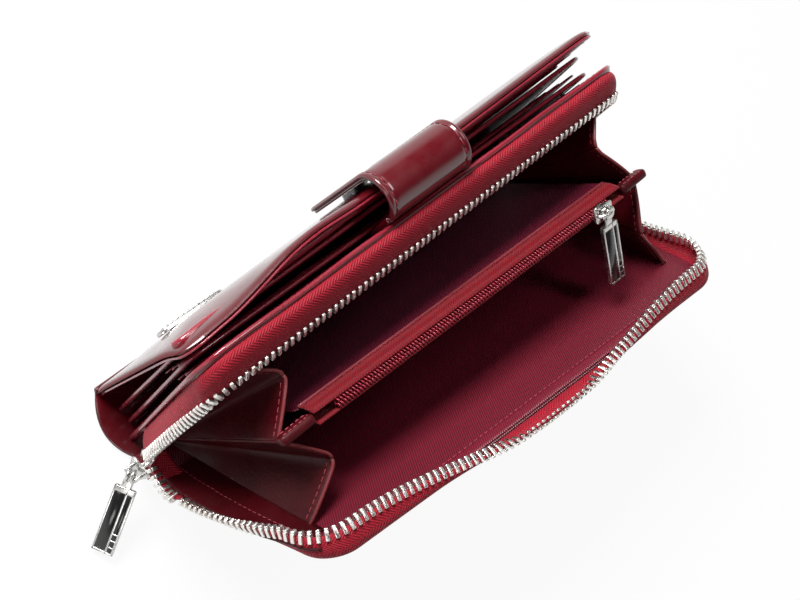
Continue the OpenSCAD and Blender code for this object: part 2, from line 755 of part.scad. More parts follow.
// The puller swivels on a headed post. It lies in a plane parallel to the slider's face and
// points across the coil.
coin_pivot_rise = coil_d / 2 + clear + coin_plate + clear + plate_t / 2;
module at_coin_puller()
    at_coin_slider() translate([0, 0, coin_pivot_rise]) rotate([0, 0, 90]) children();

module coin_puller_frame()
    color(silver) at_coin_puller() puller_frame([0, 0, 0], plate_t);

module coin_puller_enamel()
    color(enamel) at_coin_puller() puller_enamel();

// ---- gussets ---------------------------------------------------------------
// At each end a strip of leather is folded into a W between the middle wall, the end of the
// coin pocket and the back wall. All its folds run to one apex on the fold line, so the four
// panels turn about lines through that apex.
gusset_apex = [half - gusset_inset, fold[0], fold[1]];
middle_sewn = -atan((fold[0] - lining_face - gusset_t) / gusset_reach);
function wall_dir(a) = [0, sin(a), cos(a)];
function ridge_dir(a) = [-sin(ridge_lean), cos(ridge_lean) * sin(a), cos(ridge_lean) * cos(a)];

// The fold between two sewn lines a and b, at angles ga and gb from them, inside the wallet.
function fold_dir(a, b, ga, gb) =
    let (
        c = a * b,
        d = 1 - c * c,
        m = a * (cos(ga) - cos(gb) * c) / d + b * (cos(gb) - cos(ga) * c) / d,
        n = unit(cross(a, b)),
        h = sqrt(max(0, 1 - m * m))
    )
    m + n * h * (n[0] > 0 ? -1 : 1);

// One panel between its sewn line and its fold, in the frame of the slider end. It starts at
// a distance from the sewn line and its top edge rises from that line to the fold.
gusset_start = 9;
ridge_r = 0.6;                    // radius of the piping along the ridge between panels 2 and 3
ridge_room = 2 * ridge_r + 0.2;
ridge_drop = 3;
module gusset_panel(sewn, crease, sector, start, drop, room) {
    ey = unit(cross(sewn, crease));
    r = gusset_reach;
    tip = 3;
    foot = max(gusset_start, (start + room) / tan(sector) + 2);
    in_frame(gusset_apex, cross(ey, sewn), ey, sewn)
        translate([0, gusset_t / 2, 0])
            rotate([90, 0, 0])
                linear_extrude(gusset_t)
                    polygon([
                        [start, foot],
                        [foot * tan(sector) - room / cos(sector), foot],
                        [(r - tip) * sin(sector) - room, (r - tip) * cos(sector)],
                        [r * sin(sector) - room - tip * 0.4, r * cos(sector)],
                        [start, r - drop]]);
}

// Panel 1 is sewn to the middle wall, 2 and 3 to the coin pocket and 4 to the back wall.
module gusset(number, coin_angle, back_angle) {
    first = number < 3;
    wall = first ? wall_dir(middle_sewn) : wall_dir(back_angle);
    ridge = ridge_dir(coin_angle);
    crease = fold_dir(wall, ridge, sector_wall, sector_ridge);
    on_wall = number == 1 || number == 4;
    room = first ? fold_room : fold_room + 0.5;
    color(patent)
        if (on_wall)
            gusset_panel(wall, crease, sector_wall, 0, 1, room);
        else
            gusset_panel(ridge, crease, sector_ridge, ridge_room, ridge_drop, room);
}
module near_gusset(number)
    gusset(number, wall_angle(coin_angles, gusset_apex[0]), wall_angle(back_angles, gusset_apex[0]));
module far_gusset(number)
    mirror([1, 0, 0])
        gusset(number, wall_angle(coin_angles, -gusset_apex[0]), wall_angle(back_angles, -gusset_apex[0]));

// The piping on the ridge reaches from the bead up to the leather end of the coin zip.
module ridge(s) {
    a = wall_angle(coin_angles, s * gusset_apex[0]);
    low = bead_r + ridge_r + clear;
    high = coin_h - end_drop - end_h / 2 - clear;
    dir = [s * ridge_dir(a)[0], ridge_dir(a)[1], ridge_dir(a)[2]];
    level = unit(cross([0, 0, 1], dir));
    color(patent)
        in_frame([s * gusset_apex[0], fold[0], fold[1]] + dir * low, cross(level, dir), level, dir)
            cylinder(h = high - low, r = ridge_r, $fn = 24);
}
module ridge_near() ridge(1);
module ridge_far() ridge(-1);

module gusset_near_1() near_gusset(1);
module gusset_near_2() near_gusset(2);
module gusset_near_3() near_gusset(3);
module gusset_near_4() near_gusset(4);
module gusset_far_1() far_gusset(1);
module gusset_far_2() far_gusset(2);
module gusset_far_3() far_gusset(3);
module gusset_far_4() far_gusset(4);

spine();
middle_wall();
middle_board();
middle_lining();
compartment_floor();
zip_tape_front();
zip_teeth_front();
zip_tape_bend();
zip_teeth_bend();
zip_tail();
zip_slider();
zip_puller_frame();
zip_puller_enamel();
cover_shell();
cover_board();
cover_lining();
card_pocket_back();
card_pocket_middle();
card_pocket_front();
badge();
snap_stud();
page_front();
page_back();
tab_root();
tab_outer();
tab_inner();
snap_socket();
back_shell();
back_board();
back_lining();
zip_tape_back();
zip_teeth_back();
coin_side_front();
coin_side_back();
coin_zip_tape();
coin_zip_coil();
coin_end_near();
coin_end_far();
ridge_near();
ridge_far();
coin_slider();
coin_puller_frame();
coin_puller_enamel();
gusset_near_1();
gusset_near_2();
gusset_near_3();
gusset_near_4();
gusset_far_1();
gusset_far_2();
gusset_far_3();
gusset_far_4();
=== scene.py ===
"""Looks of the long zip-around wallet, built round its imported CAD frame.

Shapes are drawn in millimetres, in the axes of the frame. make() turns them into metres.
"""

import math

import bmesh
import bpy
import numpy as np
from mathutils import Matrix, Vector


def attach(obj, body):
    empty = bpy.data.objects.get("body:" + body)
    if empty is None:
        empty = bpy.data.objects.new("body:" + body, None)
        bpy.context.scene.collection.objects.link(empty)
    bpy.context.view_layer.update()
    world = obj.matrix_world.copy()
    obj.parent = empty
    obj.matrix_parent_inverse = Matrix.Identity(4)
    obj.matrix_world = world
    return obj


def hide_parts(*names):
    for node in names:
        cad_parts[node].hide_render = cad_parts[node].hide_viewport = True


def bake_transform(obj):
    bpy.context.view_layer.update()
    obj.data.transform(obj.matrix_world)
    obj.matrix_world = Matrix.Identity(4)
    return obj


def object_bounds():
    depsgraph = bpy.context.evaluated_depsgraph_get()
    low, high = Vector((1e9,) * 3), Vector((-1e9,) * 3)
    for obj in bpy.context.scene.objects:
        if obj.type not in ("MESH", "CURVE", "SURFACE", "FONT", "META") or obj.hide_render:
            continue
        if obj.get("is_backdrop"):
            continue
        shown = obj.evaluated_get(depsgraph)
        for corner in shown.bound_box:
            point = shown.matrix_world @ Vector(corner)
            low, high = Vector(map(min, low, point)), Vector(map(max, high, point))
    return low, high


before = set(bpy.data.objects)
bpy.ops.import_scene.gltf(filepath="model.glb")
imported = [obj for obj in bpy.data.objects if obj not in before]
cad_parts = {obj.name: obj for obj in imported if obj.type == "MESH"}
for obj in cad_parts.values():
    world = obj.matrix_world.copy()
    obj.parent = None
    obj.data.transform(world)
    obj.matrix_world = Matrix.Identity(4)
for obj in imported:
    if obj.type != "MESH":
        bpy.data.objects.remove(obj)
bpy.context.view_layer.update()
MM = 0.001
rng = np.random.default_rng(7)

# ---- sizes in mm, as in the CAD
# A wall is the fold (y, z) that it turns about and its lean in degrees at the near and far end.
HALF = 95.0  # half the length of the walls
CORNER = 11.0
MIDDLE, WALL_H = ((0.0, 0.0), (0.0, 0.0)), 94.0
COVER, COVER_H = ((-20.2, 3.3), (4.6, 2.0)), 92.0
PAGES = {"front": (((-10.8, 1.9), (1.4, 0.2)), 82.0), "back": (((-5.6, 1.9), (0.4, 0.8)), 80.0)}
FOLD = (6.0, 4.0)
BACK, BACK_H = (FOLD, (38.0, 51.0)), 98.0
COIN, COIN_H = (FOLD, (17.5, 22.5)), 82.0
COIN_HALF, COIN_TAPER, COIN_MID = 72.0, 0.15, -1.4
COIL_W = COIN_MID + 0.6 + 0.6  # the coil's distance from the plane of the fold
SECTOR_WALL, SECTOR_RIDGE, RIDGE_LEAN = 16.0, 15.0, 3.0  # degrees, of the gusset panels
REACH, APEX_X = 80.0, 87.0  # length of the gusset creases, and where they meet
SPINE_FRONT, SPINE_BACK, SPINE_R, SPINE_T = 21.0, 11.0, 3.0, 1.6
SLIDER_Z, ROW_Y = 24.0, 8.4  # where the chain starts on the middle wall
PITCH = 2.52  # of the teeth
TAB_FOLD, ARCH_R, ARCH_END, TAB_DROP = (-2.6, 94.5), 6.4, 174.0, 43.0
ARCH_Y = TAB_FOLD[0] - 1.1 - ARCH_R

# Looks only
TAPE_T = 0.55
SEAM_INSET, TAB_SEAM = 2.6, 2.3
FINE_STITCH = (2.4, 1.7, 0.17)  # pitch, length and radius of the gusset thread
SHEET_COLUMNS, SHEET_ROWS = 110, 40


def unit(v):
    v = np.asarray(v, float)
    return v / np.linalg.norm(v)


def wall_angle(wall, x):
    """Lean of a wall at x, in radians."""
    near, far = wall[1]
    return np.radians(near + (far - near) * (HALF - np.asarray(x, float)) / (2 * HALF))


def wall_points(wall, x, v, w):
    """Points of a wall: x along its fold, v up it, w along its normal."""
    y0, z0 = wall[0]
    x, v, w = np.broadcast_arrays(*(np.asarray(q, float) for q in (x, v, w)))
    a = wall_angle(wall, x)
    y = y0 + v * np.sin(a) + w * np.cos(a)
    return np.stack([x, y, z0 + v * np.cos(a) - w * np.sin(a)], -1)


# ---- materials
def new_material(name):
    m = bpy.data.materials.new(name)
    m.use_nodes = True
    return m, m.node_tree, m.node_tree.nodes["Principled BSDF"]


def put(socket, value):
    """Links a socket, or sets a plain value."""
    if hasattr(value, "node"):
        socket.node.id_data.links.new(value, socket)
    else:
        socket.default_value = value


def finish(shader, **inputs):
    """Sets shader inputs. Base_Color stands for the input Base Color."""
    for k, v in inputs.items():
        put(shader.inputs[k.replace("_", " ")], v)


def node(t, kind, inputs=None, **props):
    n = t.nodes.new(kind)
    for k, v in props.items():
        setattr(n, k, v)
    for k, v in (inputs or {}).items():
        put(n.inputs[k], v)
    return n


def math_node(t, op, a, b=0.0, c=0.0):
    return node(t, "ShaderNodeMath", {0: a, 1: b, 2: c}, operation=op).outputs[0]


def noise(t, where, scale, detail=3.0, rough=0.5):
    inputs = {"Vector": where, "Scale": scale, "Detail": detail, "Roughness": rough}
    return node(t, "ShaderNodeTexNoise", inputs).outputs["Fac"]


def ramp(t, fac, stops):
    """A colour ramp. A stop is its place with a colour, or with a grey level as (level,)."""
    n = node(t, "ShaderNodeValToRGB", {"Fac": fac})
    e = n.color_ramp.elements
    while len(e) < len(stops):
        e.new(0.5)
    for i, (p, c) in enumerate(stops):
        e[i].position = p
        e[i].color = (*c, 1) if len(c) == 3 else (c[0], c[0], c[0], 1)
    return n.outputs["Color"]


def bump(t, height, strength, distance, normal=None):
    n = node(t, "ShaderNodeBump", {"Height": height, "Strength": strength, "Distance": distance})
    if normal is not None:
        put(n.inputs["Normal"], normal)
    return n.outputs["Normal"]


def object_coords(t):
    return node(t, "ShaderNodeTexCoord").outputs["Object"]


def uv_mm(t):
    """The piece's own surface coordinates, in millimetres."""
    flat = node(t, "ShaderNodeUVMap", uv_map="UVMap").outputs["UV"]
    xyz = node(t, "ShaderNodeSeparateXYZ", {0: flat})
    return xyz.outputs["X"], xyz.outputs["Y"]


def leather(name, dark, light, rough, coat, grain, coat_rough=0.04, specular=0.35):
    """Leather with a cloudy colour, a fine grain, soft dents and a clear coat."""
    m, t, b = new_material(name)
    where = object_coords(t)
    dents = bump(t, noise(t, where, 60.0, 2.0, 0.4), 0.22, 0.0012)
    fine = node(t, "ShaderNodeTexVoronoi", {"Vector": where, "Scale": 900.0}).outputs["Distance"]
    worn = [(0.3, (rough * 0.8,)), (0.7, (rough * 1.2,))]
    finish(b, Base_Color=ramp(t, noise(t, where, 24.0, 4.0, 0.6), [(0.3, dark), (0.72, light)]),
           Roughness=ramp(t, noise(t, where, 160.0, 2.0), worn), Specular_IOR_Level=specular,
           Coat_Weight=coat, Coat_Roughness=coat_rough, Coat_Normal=dents,
           Normal=bump(t, fine, grain, 0.0002, dents))
    return m


def ribs(t, along, rib, thread, share):
    """Height of woven ribs, with a share of uneven thread."""
    wave = math_node(t, "SINE", math_node(t, "MULTIPLY", along, 2 * math.pi / rib))
    even = math_node(t, "MULTIPLY", math_node(t, "MULTIPLY_ADD", wave, 0.5, 0.5), 1 - share)
    return math_node(t, "ADD", even, math_node(t, "MULTIPLY", thread, share))


def twill(name, dark, light):
    """Satin lining cloth with fine diagonal ribs."""
    rib, slant = 1.35, -1.553
    m, t, b = new_material(name)
    u, v = uv_mm(t)
    along = math_node(t, "ADD", math_node(t, "MULTIPLY", u, slant), v)
    height = ribs(t, along, rib, noise(t, object_coords(t), 26.0, 3.0), 0.25)
    finish(b, Base_Color=ramp(t, height, [(0.1, dark), (0.9, light)]), Roughness=0.42,
           Sheen_Weight=0.25, Sheen_Roughness=0.35, Sheen_Tint=(0.95, 0.20, 0.38, 1),
           Normal=bump(t, height, 0.6, 0.0003))
    return m


def herringbone(name, dark, light, rib, width):
    """Woven zip tape: ribs in zigzags along the tape."""
    m, t, b = new_material(name)
    u, v = uv_mm(t)
    zig = math_node(t, "PINGPONG", v, width)
    along = math_node(t, "ADD", u, math_node(t, "MULTIPLY", zig, 1.3))
    height = ribs(t, along, rib, noise(t, object_coords(t), 420.0, 2.0), 0.4)
    finish(b, Base_Color=ramp(t, height, [(0.15, dark), (0.85, light)]), Roughness=0.62,
           Specular_IOR_Level=0.2, Sheen_Weight=0.12, Sheen_Tint=(1.0, 0.35, 0.4, 1),
           Normal=bump(t, height, 0.7, 0.0004))
    return m


def metal(name, colour, rough):
    m, t, b = new_material(name)
    where = object_coords(t)
    worn = [(0.3, (rough * 0.6,)), (0.75, (rough * 1.6,))]
    finish(b, Base_Color=(*colour, 1), Metallic=1.0,
           Roughness=ramp(t, noise(t, where, 700.0, 3.0), worn),
           Normal=bump(t, noise(t, where, 1500.0, 2.0), 0.08, 0.0001))
    return m


def plain(name, dark, light, rough, scale, strength, coat=0.0, specular=0.5):
    """Thread, enamel, nylon or board: an uneven colour and surface."""
    m, t, b = new_material(name)
    n = noise(t, object_coords(t), scale, 3.0)
    finish(b, Base_Color=ramp(t, n, [(0.3, dark), (0.7, light)]), Roughness=rough,
           Specular_IOR_Level=specular, Coat_Weight=coat, Coat_Roughness=0.05,
           Normal=bump(t, n, strength, 0.0002))
    return m


PATENT = leather("patent_leather", (0.060, 0.0010, 0.0035), (0.105, 0.0024, 0.0070), 0.32,
                 0.9, 0.04)
# A lighter copy of the patent leather for rounded edges: a painted highlight along the edges.
PATENT_HIGHLIGHT = leather("patent_highlight", (0.17, 0.007, 0.017), (0.27, 0.018, 0.034), 0.30, 0.8, 0.05)
# A darker copy of the patent leather for the cover's inside, card layers, pages and pockets:
# painted shade between the leaves.
LEAF_SHADE_LEATHER = leather("page_leather", (0.030, 0.0008, 0.0022), (0.060, 0.0016, 0.0044), 0.45,
                0.12, 0.10, 0.2, 0.16)
SATIN = leather("gusset_leather", (0.030, 0.0010, 0.0022), (0.066, 0.0024, 0.0052), 0.46,
                0.05, 0.34, 0.3, 0.16)
# A lighter copy of the gusset leather for rounded folds: a painted highlight along the folds.
SATIN_HIGHLIGHT = leather("gusset_highlight", (0.11, 0.012, 0.015), (0.20, 0.032, 0.036), 0.40, 0.15, 0.1,
                     0.2)
LINING = twill("lining_twill", (0.062, 0.0032, 0.0085), (0.175, 0.0105, 0.025))
HEM = twill("lining_hem", (0.09, 0.0045, 0.012), (0.20, 0.013, 0.030))
POCKET = twill("pocket_twill", (0.040, 0.0010, 0.005), (0.12, 0.004, 0.018))
TAPE = herringbone("zip_tape", (0.19, 0.004, 0.012), (0.37, 0.013, 0.028), 1.25, 2.4)
COIN_TAPE = herringbone("coin_tape", (0.09, 0.0012, 0.004), (0.20, 0.004, 0.010), 1.1, 1.8)
COIL = plain("nylon_coil", (0.16, 0.003, 0.012), (0.30, 0.008, 0.026), 0.4, 500.0, 0.1, 0.2)
SILVER = metal("silver_metal", (0.64, 0.63, 0.61), 0.27)
# Darkened metal for the snap stud and socket: painted shade, for the shadow under the closing tab.
SNAP_SHADE_METAL = metal("snap_shade_metal", (0.20, 0.19, 0.19), 0.34)
TOOTH_METAL = metal("tooth_metal", (0.86, 0.84, 0.80), 0.36)
# Black for the field between the badge's ribs: painted shade between the letters.
BADGE_SHADE_BLACK = plain("badge_shade_black", (0.008, 0.008, 0.009), (0.02, 0.02, 0.022), 0.7, 400.0, 0.2,
                    specular=0.1)
ENAMEL = plain("black_enamel", (0.004, 0.004, 0.004), (0.010, 0.010, 0.011), 0.22, 200.0, 0.02,
               0.35)
THREAD = plain("thread", (0.10, 0.004, 0.012), (0.24, 0.014, 0.03), 0.5, 900.0, 0.3)
PINK_THREAD = plain("pink_thread", (0.20, 0.016, 0.028), (0.34, 0.04, 0.06), 0.5, 900.0, 0.3)
BOARD = plain("stiffener_board", (0.30, 0.25, 0.19), (0.46, 0.40, 0.31), 0.85, 250.0, 0.4)

# The record's material slot of each finish. Thread has none.
SLOT_GROUPS = {
    "patent_leather": (PATENT, PATENT_HIGHLIGHT, LEAF_SHADE_LEATHER), "gusset_leather": (SATIN, SATIN_HIGHLIGHT),
    "lining": (LINING, HEM, POCKET), "zip_tape": (TAPE, COIN_TAPE), "nylon_coil": (COIL,),
    "silver_metal": (SILVER, SNAP_SHADE_METAL, TOOTH_METAL), "black_enamel": (ENAMEL, BADGE_SHADE_BLACK),
}
SLOTS = {m.name: slot for slot, group in SLOT_GROUPS.items() for m in group}


# ---- mesh helpers
# A part is (points, faces), in mm.
def make(name, part, material, body, nodes=(), uv=None, slot=None):
    """A piece that stands for CAD nodes. It rides on a body, or for (body, body, start, end)
    stays where it is drawn and rides on neither."""
    points, faces = part
    mesh = bpy.data.meshes.new(name)
    points = (np.asarray(points, float) * MM).tolist()
    mesh.from_pydata(points, [], [tuple(int(i) for i in f) for f in faces])
    if uv is not None:
        layer = mesh.uv_layers.new(name="UVMap")
        index = np.zeros(len(mesh.loops), np.int32)
        mesh.loops.foreach_get("vertex_index", index)
        layer.data.foreach_set("uv", np.asarray(uv, np.float32)[index].ravel())
    mesh.materials.append(material)
    bm = bmesh.new()
    bm.from_mesh(mesh)
    bmesh.ops.recalc_face_normals(bm, faces=bm.faces)
    bm.to_mesh(mesh)
    bm.free()
    mesh.polygons.foreach_set("use_smooth", [True] * len(mesh.polygons))
    o = bpy.data.objects.new(name, mesh)
    bpy.context.scene.collection.objects.link(o)
    if isinstance(body, tuple):
        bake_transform(o)
    else:
        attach(o, body)
    if nodes:
        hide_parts(*nodes)
    slot = slot or SLOTS.get(material.name)


def grid_faces(nu, nv, base=0, flip=False):
    out = []
    for i in range(nu - 1):
        for j in range(nv - 1):
            a = base + i * nv + j
            f = (a, a + nv, a + nv + 1, a + 1)
            out.append(f[::-1] if flip else f)
    return out


def make_sheet(name, sides, uv, material, body, nodes=()):
    """A closed sheet from the two grids of points of its sides. uv is each point's place in mm."""
    nu, nv = sides[0].shape[:2]
    size = nu * nv
    faces = grid_faces(nu, nv) + grid_faces(nu, nv, size, True)
    rims = [range(j, size, nv) for j in (0, nv - 1)]
    rims += [range(i * nv, (i + 1) * nv) for i in (0, nu - 1)]
    for rim_points in rims:
        faces += [(a, b, b + size, a + size) for a, b in zip(rim_points, rim_points[1:])]
    points = np.concatenate([q.reshape(-1, 3) for q in sides])
    flat = np.stack([q.ravel() for q in np.broadcast_arrays(*uv)], -1)
    make(name, (points, faces), material, body, nodes, np.concatenate([flat, flat]))


def swept_faces(rings, sides):
    """Faces of rings of points in a row, closed at both ends."""
    faces = []
    for i in range(rings - 1):
        for k in range(sides):
            a, b = i * sides + k, i * sides + (k + 1) % sides
            faces.append((a, b, b + sides, a + sides))
    first = tuple(range(sides))[::-1]
    return faces + [first, tuple((rings - 1) * sides + k for k in range(sides))]


def join_parts(parts):
    points, faces, base = [], [], 0
    for v, f in parts:
        points.append(np.asarray(v, float))
        faces += [tuple(i + base for i in face) for face in f]
        base += len(v)
    return np.concatenate(points), faces


def placed(part, origin, ex, ey, ez):
    v, f = part
    return np.asarray(origin, float) + v @ np.array([ex, ey, ez], float), f


def moved(part, offset):
    return part[0] + offset, part[1]


def run_of(points):
    """Distance along a polyline at each of its points."""
    return np.concatenate([[0], np.cumsum(np.linalg.norm(np.diff(points, axis=0), axis=1))])


def at_run(points, run, s):
    """Points at the distances s along a polyline."""
    return np.stack([np.interp(s, run, points[:, k]) for k in range(3)], -1)


def resample(points, step):
    p = np.asarray(points, float)
    run = run_of(p)
    n = max(2, int(round(run[-1] / step)) + 1)
    return at_run(p, run, np.linspace(0, run[-1], n))


def tube(points, radius, sides=8):
    """A round tube along a polyline, with a frame carried on from point to point."""
    p = np.asarray(points, float)
    n = len(p)
    tang = np.gradient(p, axis=0)
    tang /= np.linalg.norm(tang, axis=1)[:, None] + 1e-12
    side = np.cross(tang, [0.31, 0.87, 0.38])
    side /= np.linalg.norm(side, axis=1)[:, None]
    for i in range(1, n):
        s = side[i - 1] - tang[i] * (side[i - 1] @ tang[i])
        side[i] = s / np.linalg.norm(s)
    up = np.cross(tang, side)
    r = np.broadcast_to(np.asarray(radius, float), (n,))[:, None, None]
    ang = np.linspace(0, 2 * np.pi, sides, endpoint=False)[None, :, None]
    rings = p[:, None] + r * (np.cos(ang) * side[:, None] + np.sin(ang) * up[:, None])
    return rings.reshape(-1, 3), swept_faces(n, sides)


def stitches(points, pitch=3.0, length=2.2, radius=0.26):
    """A running stitch along a line: short threads that thin out at both ends."""
    p = resample(points, 0.5)
    run = run_of(p)
    thread = radius * np.array([0.35, 0.9, 1, 0.9, 0.35])
    parts = []
    s = pitch * 0.5
    while s + length < run[-1]:
        q = at_run(p, run, s + length * np.array([0, 0.15, 0.5, 0.85, 1]))
        parts.append(tube(q, thread, 6))
        s += pitch
    return join_parts(parts)


def bevelled(bm, edges, bevel, segments):
    """The part in a bmesh, once some of its edges are rounded."""
    bmesh.ops.bevel(bm, geom=edges, offset=bevel, segments=segments, profile=0.6, affect="EDGES")
    bm.verts.ensure_lookup_table()
    v = np.array([x.co for x in bm.verts])
    f = [tuple(q.index for q in face.verts) for face in bm.faces]
    bm.free()
    return v, f


def rounded_box(size, bevel, segments=2):
    bm = bmesh.new()
    bmesh.ops.create_cube(bm, size=1.0)
    bmesh.ops.scale(bm, vec=size, verts=bm.verts)
    return bevelled(bm, list(bm.edges), bevel, segments)


def plate(outline, z0, z1, bevel=0.25, segments=2):
    """A flat plate with a bevelled rim from a closed outline."""
    bm = bmesh.new()
    low, high = ([bm.verts.new((x, y, z)) for x, y in outline] for z in (z0, z1))
    bm.faces.new(low[::-1])
    bm.faces.new(high)
    n = len(outline)
    for i in range(n):
        bm.faces.new((low[i], low[(i + 1) % n], high[(i + 1) % n], high[i]))
    level = [e for e in bm.edges if abs(e.verts[0].co.z - e.verts[1].co.z) < 1e-9]
    return bevelled(bm, level, bevel, segments)


def circle(r, n):
    angles = np.linspace(0, 2 * math.pi, n, endpoint=False)
    return [(r * math.cos(a), r * math.sin(a)) for a in angles]


def rounded_rect(x0, x1, y0, y1, r, n=5):
    out = []
    centres = ((x1 - r, y1 - r), (x0 + r, y1 - r), (x0 + r, y0 + r), (x1 - r, y0 + r))
    for turn, (cx, cy) in enumerate(centres):
        for i in range(n + 1):
            a = math.radians(90 * turn + 90 * i / n)
            out.append((cx + r * math.cos(a), cy + r * math.sin(a)))
    return out


def spaced(n, dense=0.35):
    """n values from 0 to 1, closer together at both ends."""
    s = np.linspace(0, 1, n)
    return s * (1 - dense) + dense * (1 - np.cos(np.pi * s)) / 2


def ramped(x, start, length):
    """0 up to start, then a straight rise to 1."""
    return np.clip((x - start) / length, 0, 1)


def rounded(d, edge):
    """Height of a rim that is rounded over the distance edge."""
    return np.sqrt(np.clip(1 - (1 - np.clip(d / edge, 0, 1)) ** 2, 0, 1))


def hump(x, centre, width):
    return np.exp(-(((x - centre) / width) ** 2))


# ---- soft panels
def rim_distance(x, v, half, low, high, r):
    """Distance inside the outline of a sheet with rounded top corners."""
    cx, cv = np.abs(x) - (half - r), v - (high - r)
    straight = np.minimum(half - np.abs(x), high - v)
    d = np.where((cx > 0) & (cv > 0), r - np.hypot(cx, cv), straight)
    return np.minimum(np.maximum(d, 0), np.maximum(v - low, 0))


def panel(name, wall, size, w, edge, material, body, nodes=(), dent=None, warp=None, taper=0.0):
    """A leather or cloth sheet on a wall. size is its half length, foot, top and corner radius, w
    the places of its faces, edge the rounding of its rim, dent a groove's inset and depth."""
    half, low, high, r = size
    bend = (half - 0.3 * r) / half
    x = np.sort([*(spaced(SHEET_COLUMNS) * 2 - 1), -bend, bend]) * half
    inset = np.clip(np.abs(x) - (half - r), 0, r)
    top = high - r + np.sqrt(np.maximum(r * r - inset * inset, 0))
    X = np.repeat(x[:, None], SHEET_ROWS, 1)
    V = low + (top[:, None] - low) * spaced(SHEET_ROWS, 0.6)[None]
    d = rim_distance(X, V, half, low, high, r)
    groove = dent[1] * hump(d, dent[0], 0.45) if dent else 0.0
    shift = warp(X, V) if warp else 0.0
    sides = []
    for sign in (-1, 1):
        depth = (w[0] + w[1]) / 2 + sign * ((w[1] - w[0]) / 2 * rounded(d, edge) - groove) + shift
        sides.append(wall_points(wall, X * (1 + taper * (1 - V / high)), V, depth))
    make_sheet(name, sides, (X, V), material, body, nodes)


def inset_line(half, low, high, r, inset, sides=True):
    """(x, v) along the rim of a sheet, a distance inside it, from the near foot to the far foot."""
    h, t, q = half - inset, high - inset, max(r - inset, 1.0)
    quarter = np.linspace(0, math.pi / 2, 9)
    pts = []
    if sides:
        pts += [(h, v) for v in np.linspace(low, t - q, 14)]
    pts += [(h - q + q * math.cos(a), t - q + q * math.sin(a)) for a in quarter]
    pts += [(x, t) for x in np.linspace(h - q, q - h, 40)[1:-1]]
    pts += [(q - h - q * math.sin(a), t - q + q * math.cos(a)) for a in quarter]
    if sides:
        pts += [(-h, v) for v in np.linspace(t - q, low, 14)]
    return np.array(pts)


def rim_stitch(name, wall, size, w, body, inset=SEAM_INSET):
    x, v = inset_line(*size, inset).T
    make(name, stitches(wall_points(wall, x, v, w)), THREAD, body)


def edge_cord(name, wall, line, w, radius, body, sides=8):
    """The rounded edge of a leather piece, along points (x, v), in a lighter colour:
    a painted highlight along the rounded edge.
    """
    make(name, tube(wall_points(wall, *line.T, w), radius, sides), PATENT_HIGHLIGHT, body)


def worn_edge(x, radius, share, short, long):
    """A radius that is a little uneven along x."""
    return radius * (1 + share * np.sin(x / short) * np.sin(x / long))


# ---- zip rows
def rim(half, low, high, r, flare, w_low, w_end, w_mid, lift=0.0, steps=24, arcs=12):
    """(x, v, w) round a wall from its near foot to its far foot, flared at the near foot."""
    straight = high - r - low
    foot, corner, top = [], [], []
    for i in range(steps + 1):
        t = i / steps
        foot.append((t, low + straight * t, w_low + (w_end - w_low) * t * t))
    for i in range(1, arcs + 1):
        a = math.pi / 2 * i / arcs
        corner.append((half - r + r * math.cos(a), high - r + r * math.sin(a), w_end))
    for i in range(1, 2 * steps):
        t = i / (2 * steps)
        s = math.sin(math.pi * t) ** 2
        top.append(((half - r) * (1 - 2 * t), high + lift * s, w_end + (w_mid - w_end) * s))
    near = [(half + flare * (1 - t * t), v, w) for t, v, w in foot] + corner
    far = [(-x, v, w) for x, v, w in corner[::-1]] + [(-half, v, w) for _, v, w in foot[::-1]]
    return np.array(near + top + far)


def upright(s):
    """(x, v, w) of the upright middle wall as points."""
    return np.stack([s[:, 0], s[:, 2], s[:, 1]], -1)


def on_back(s):
    return wall_points(BACK, *s.T)


ROW_TOP = WALL_H - 7
front_edge = upright(rim(HALF, SLIDER_Z, ROW_TOP, CORNER, 6, ROW_Y, ROW_Y, ROW_Y))
front_seam = upright(rim(HALF - 0.9, SLIDER_Z - 4, WALL_H - 0.9, CORNER, 0, 0.9, 0.9, 0.9))
front_top = upright(rim(HALF + 0.3, SLIDER_Z - 2, WALL_H + 1.6, CORNER, 3, 3.2, 3.6, 3.6))
back_edge = on_back(rim(HALF + 2, 34, BACK_H - 2.5, CORNER + 3, 6, -1, -6.5, 3.4, 5.3))
back_seam = on_back(rim(HALF - 1.0, 30, BACK_H - 1.4, CORNER, 0, 1.7, 1.7, 1.7))
back_top = on_back(rim(HALF + 2.2, 32, BACK_H + 1.8, CORNER, 3, 1.2, 0.2, 1.8, 2.2))


def ribbon(name, seam, crest, edge, thick, material, body, nodes=(), across=9):
    """Tape that leaves a seam, curls over a crest and ends in a free edge, with a slight ripple."""
    s = np.linspace(0, 1, across)
    k = s[None, :, None]
    mid = (1 - k) ** 2 * seam[:, None] + 2 * k * (1 - k) * crest[:, None] + k * k * edge[:, None]
    nrm = np.cross(np.gradient(mid, axis=0), np.gradient(mid, axis=1))
    nrm /= np.linalg.norm(nrm, axis=2)[:, :, None] + 1e-9
    run = run_of(edge)[:, None]
    width = np.cumsum(np.linalg.norm(np.diff(mid, axis=1), axis=2), 1)
    width = np.concatenate([np.zeros((len(edge), 1)), width], 1)
    ripple = (0.12 * np.sin(run / 6.1) * np.sin(np.pi * s)[None])[:, :, None]
    sides = [mid + nrm * (thick / 2 + ripple), mid - nrm * (thick / 2 - ripple)]
    make_sheet(name, sides, (run, width), material, body, nodes)


def tooth_shape():
    """One metal tooth: two clamped legs and a round nose."""
    legs = [moved(rounded_box((3.1, 1.25, 0.85), 0.24), [-0.25, 0, z]) for z in (0.78, -0.78)]
    return join_parts([*legs, moved(rounded_box((1.9, 1.25, 2.0), 0.42, 3), [1.15, 0, 0])])


TOOTH = tooth_shape()


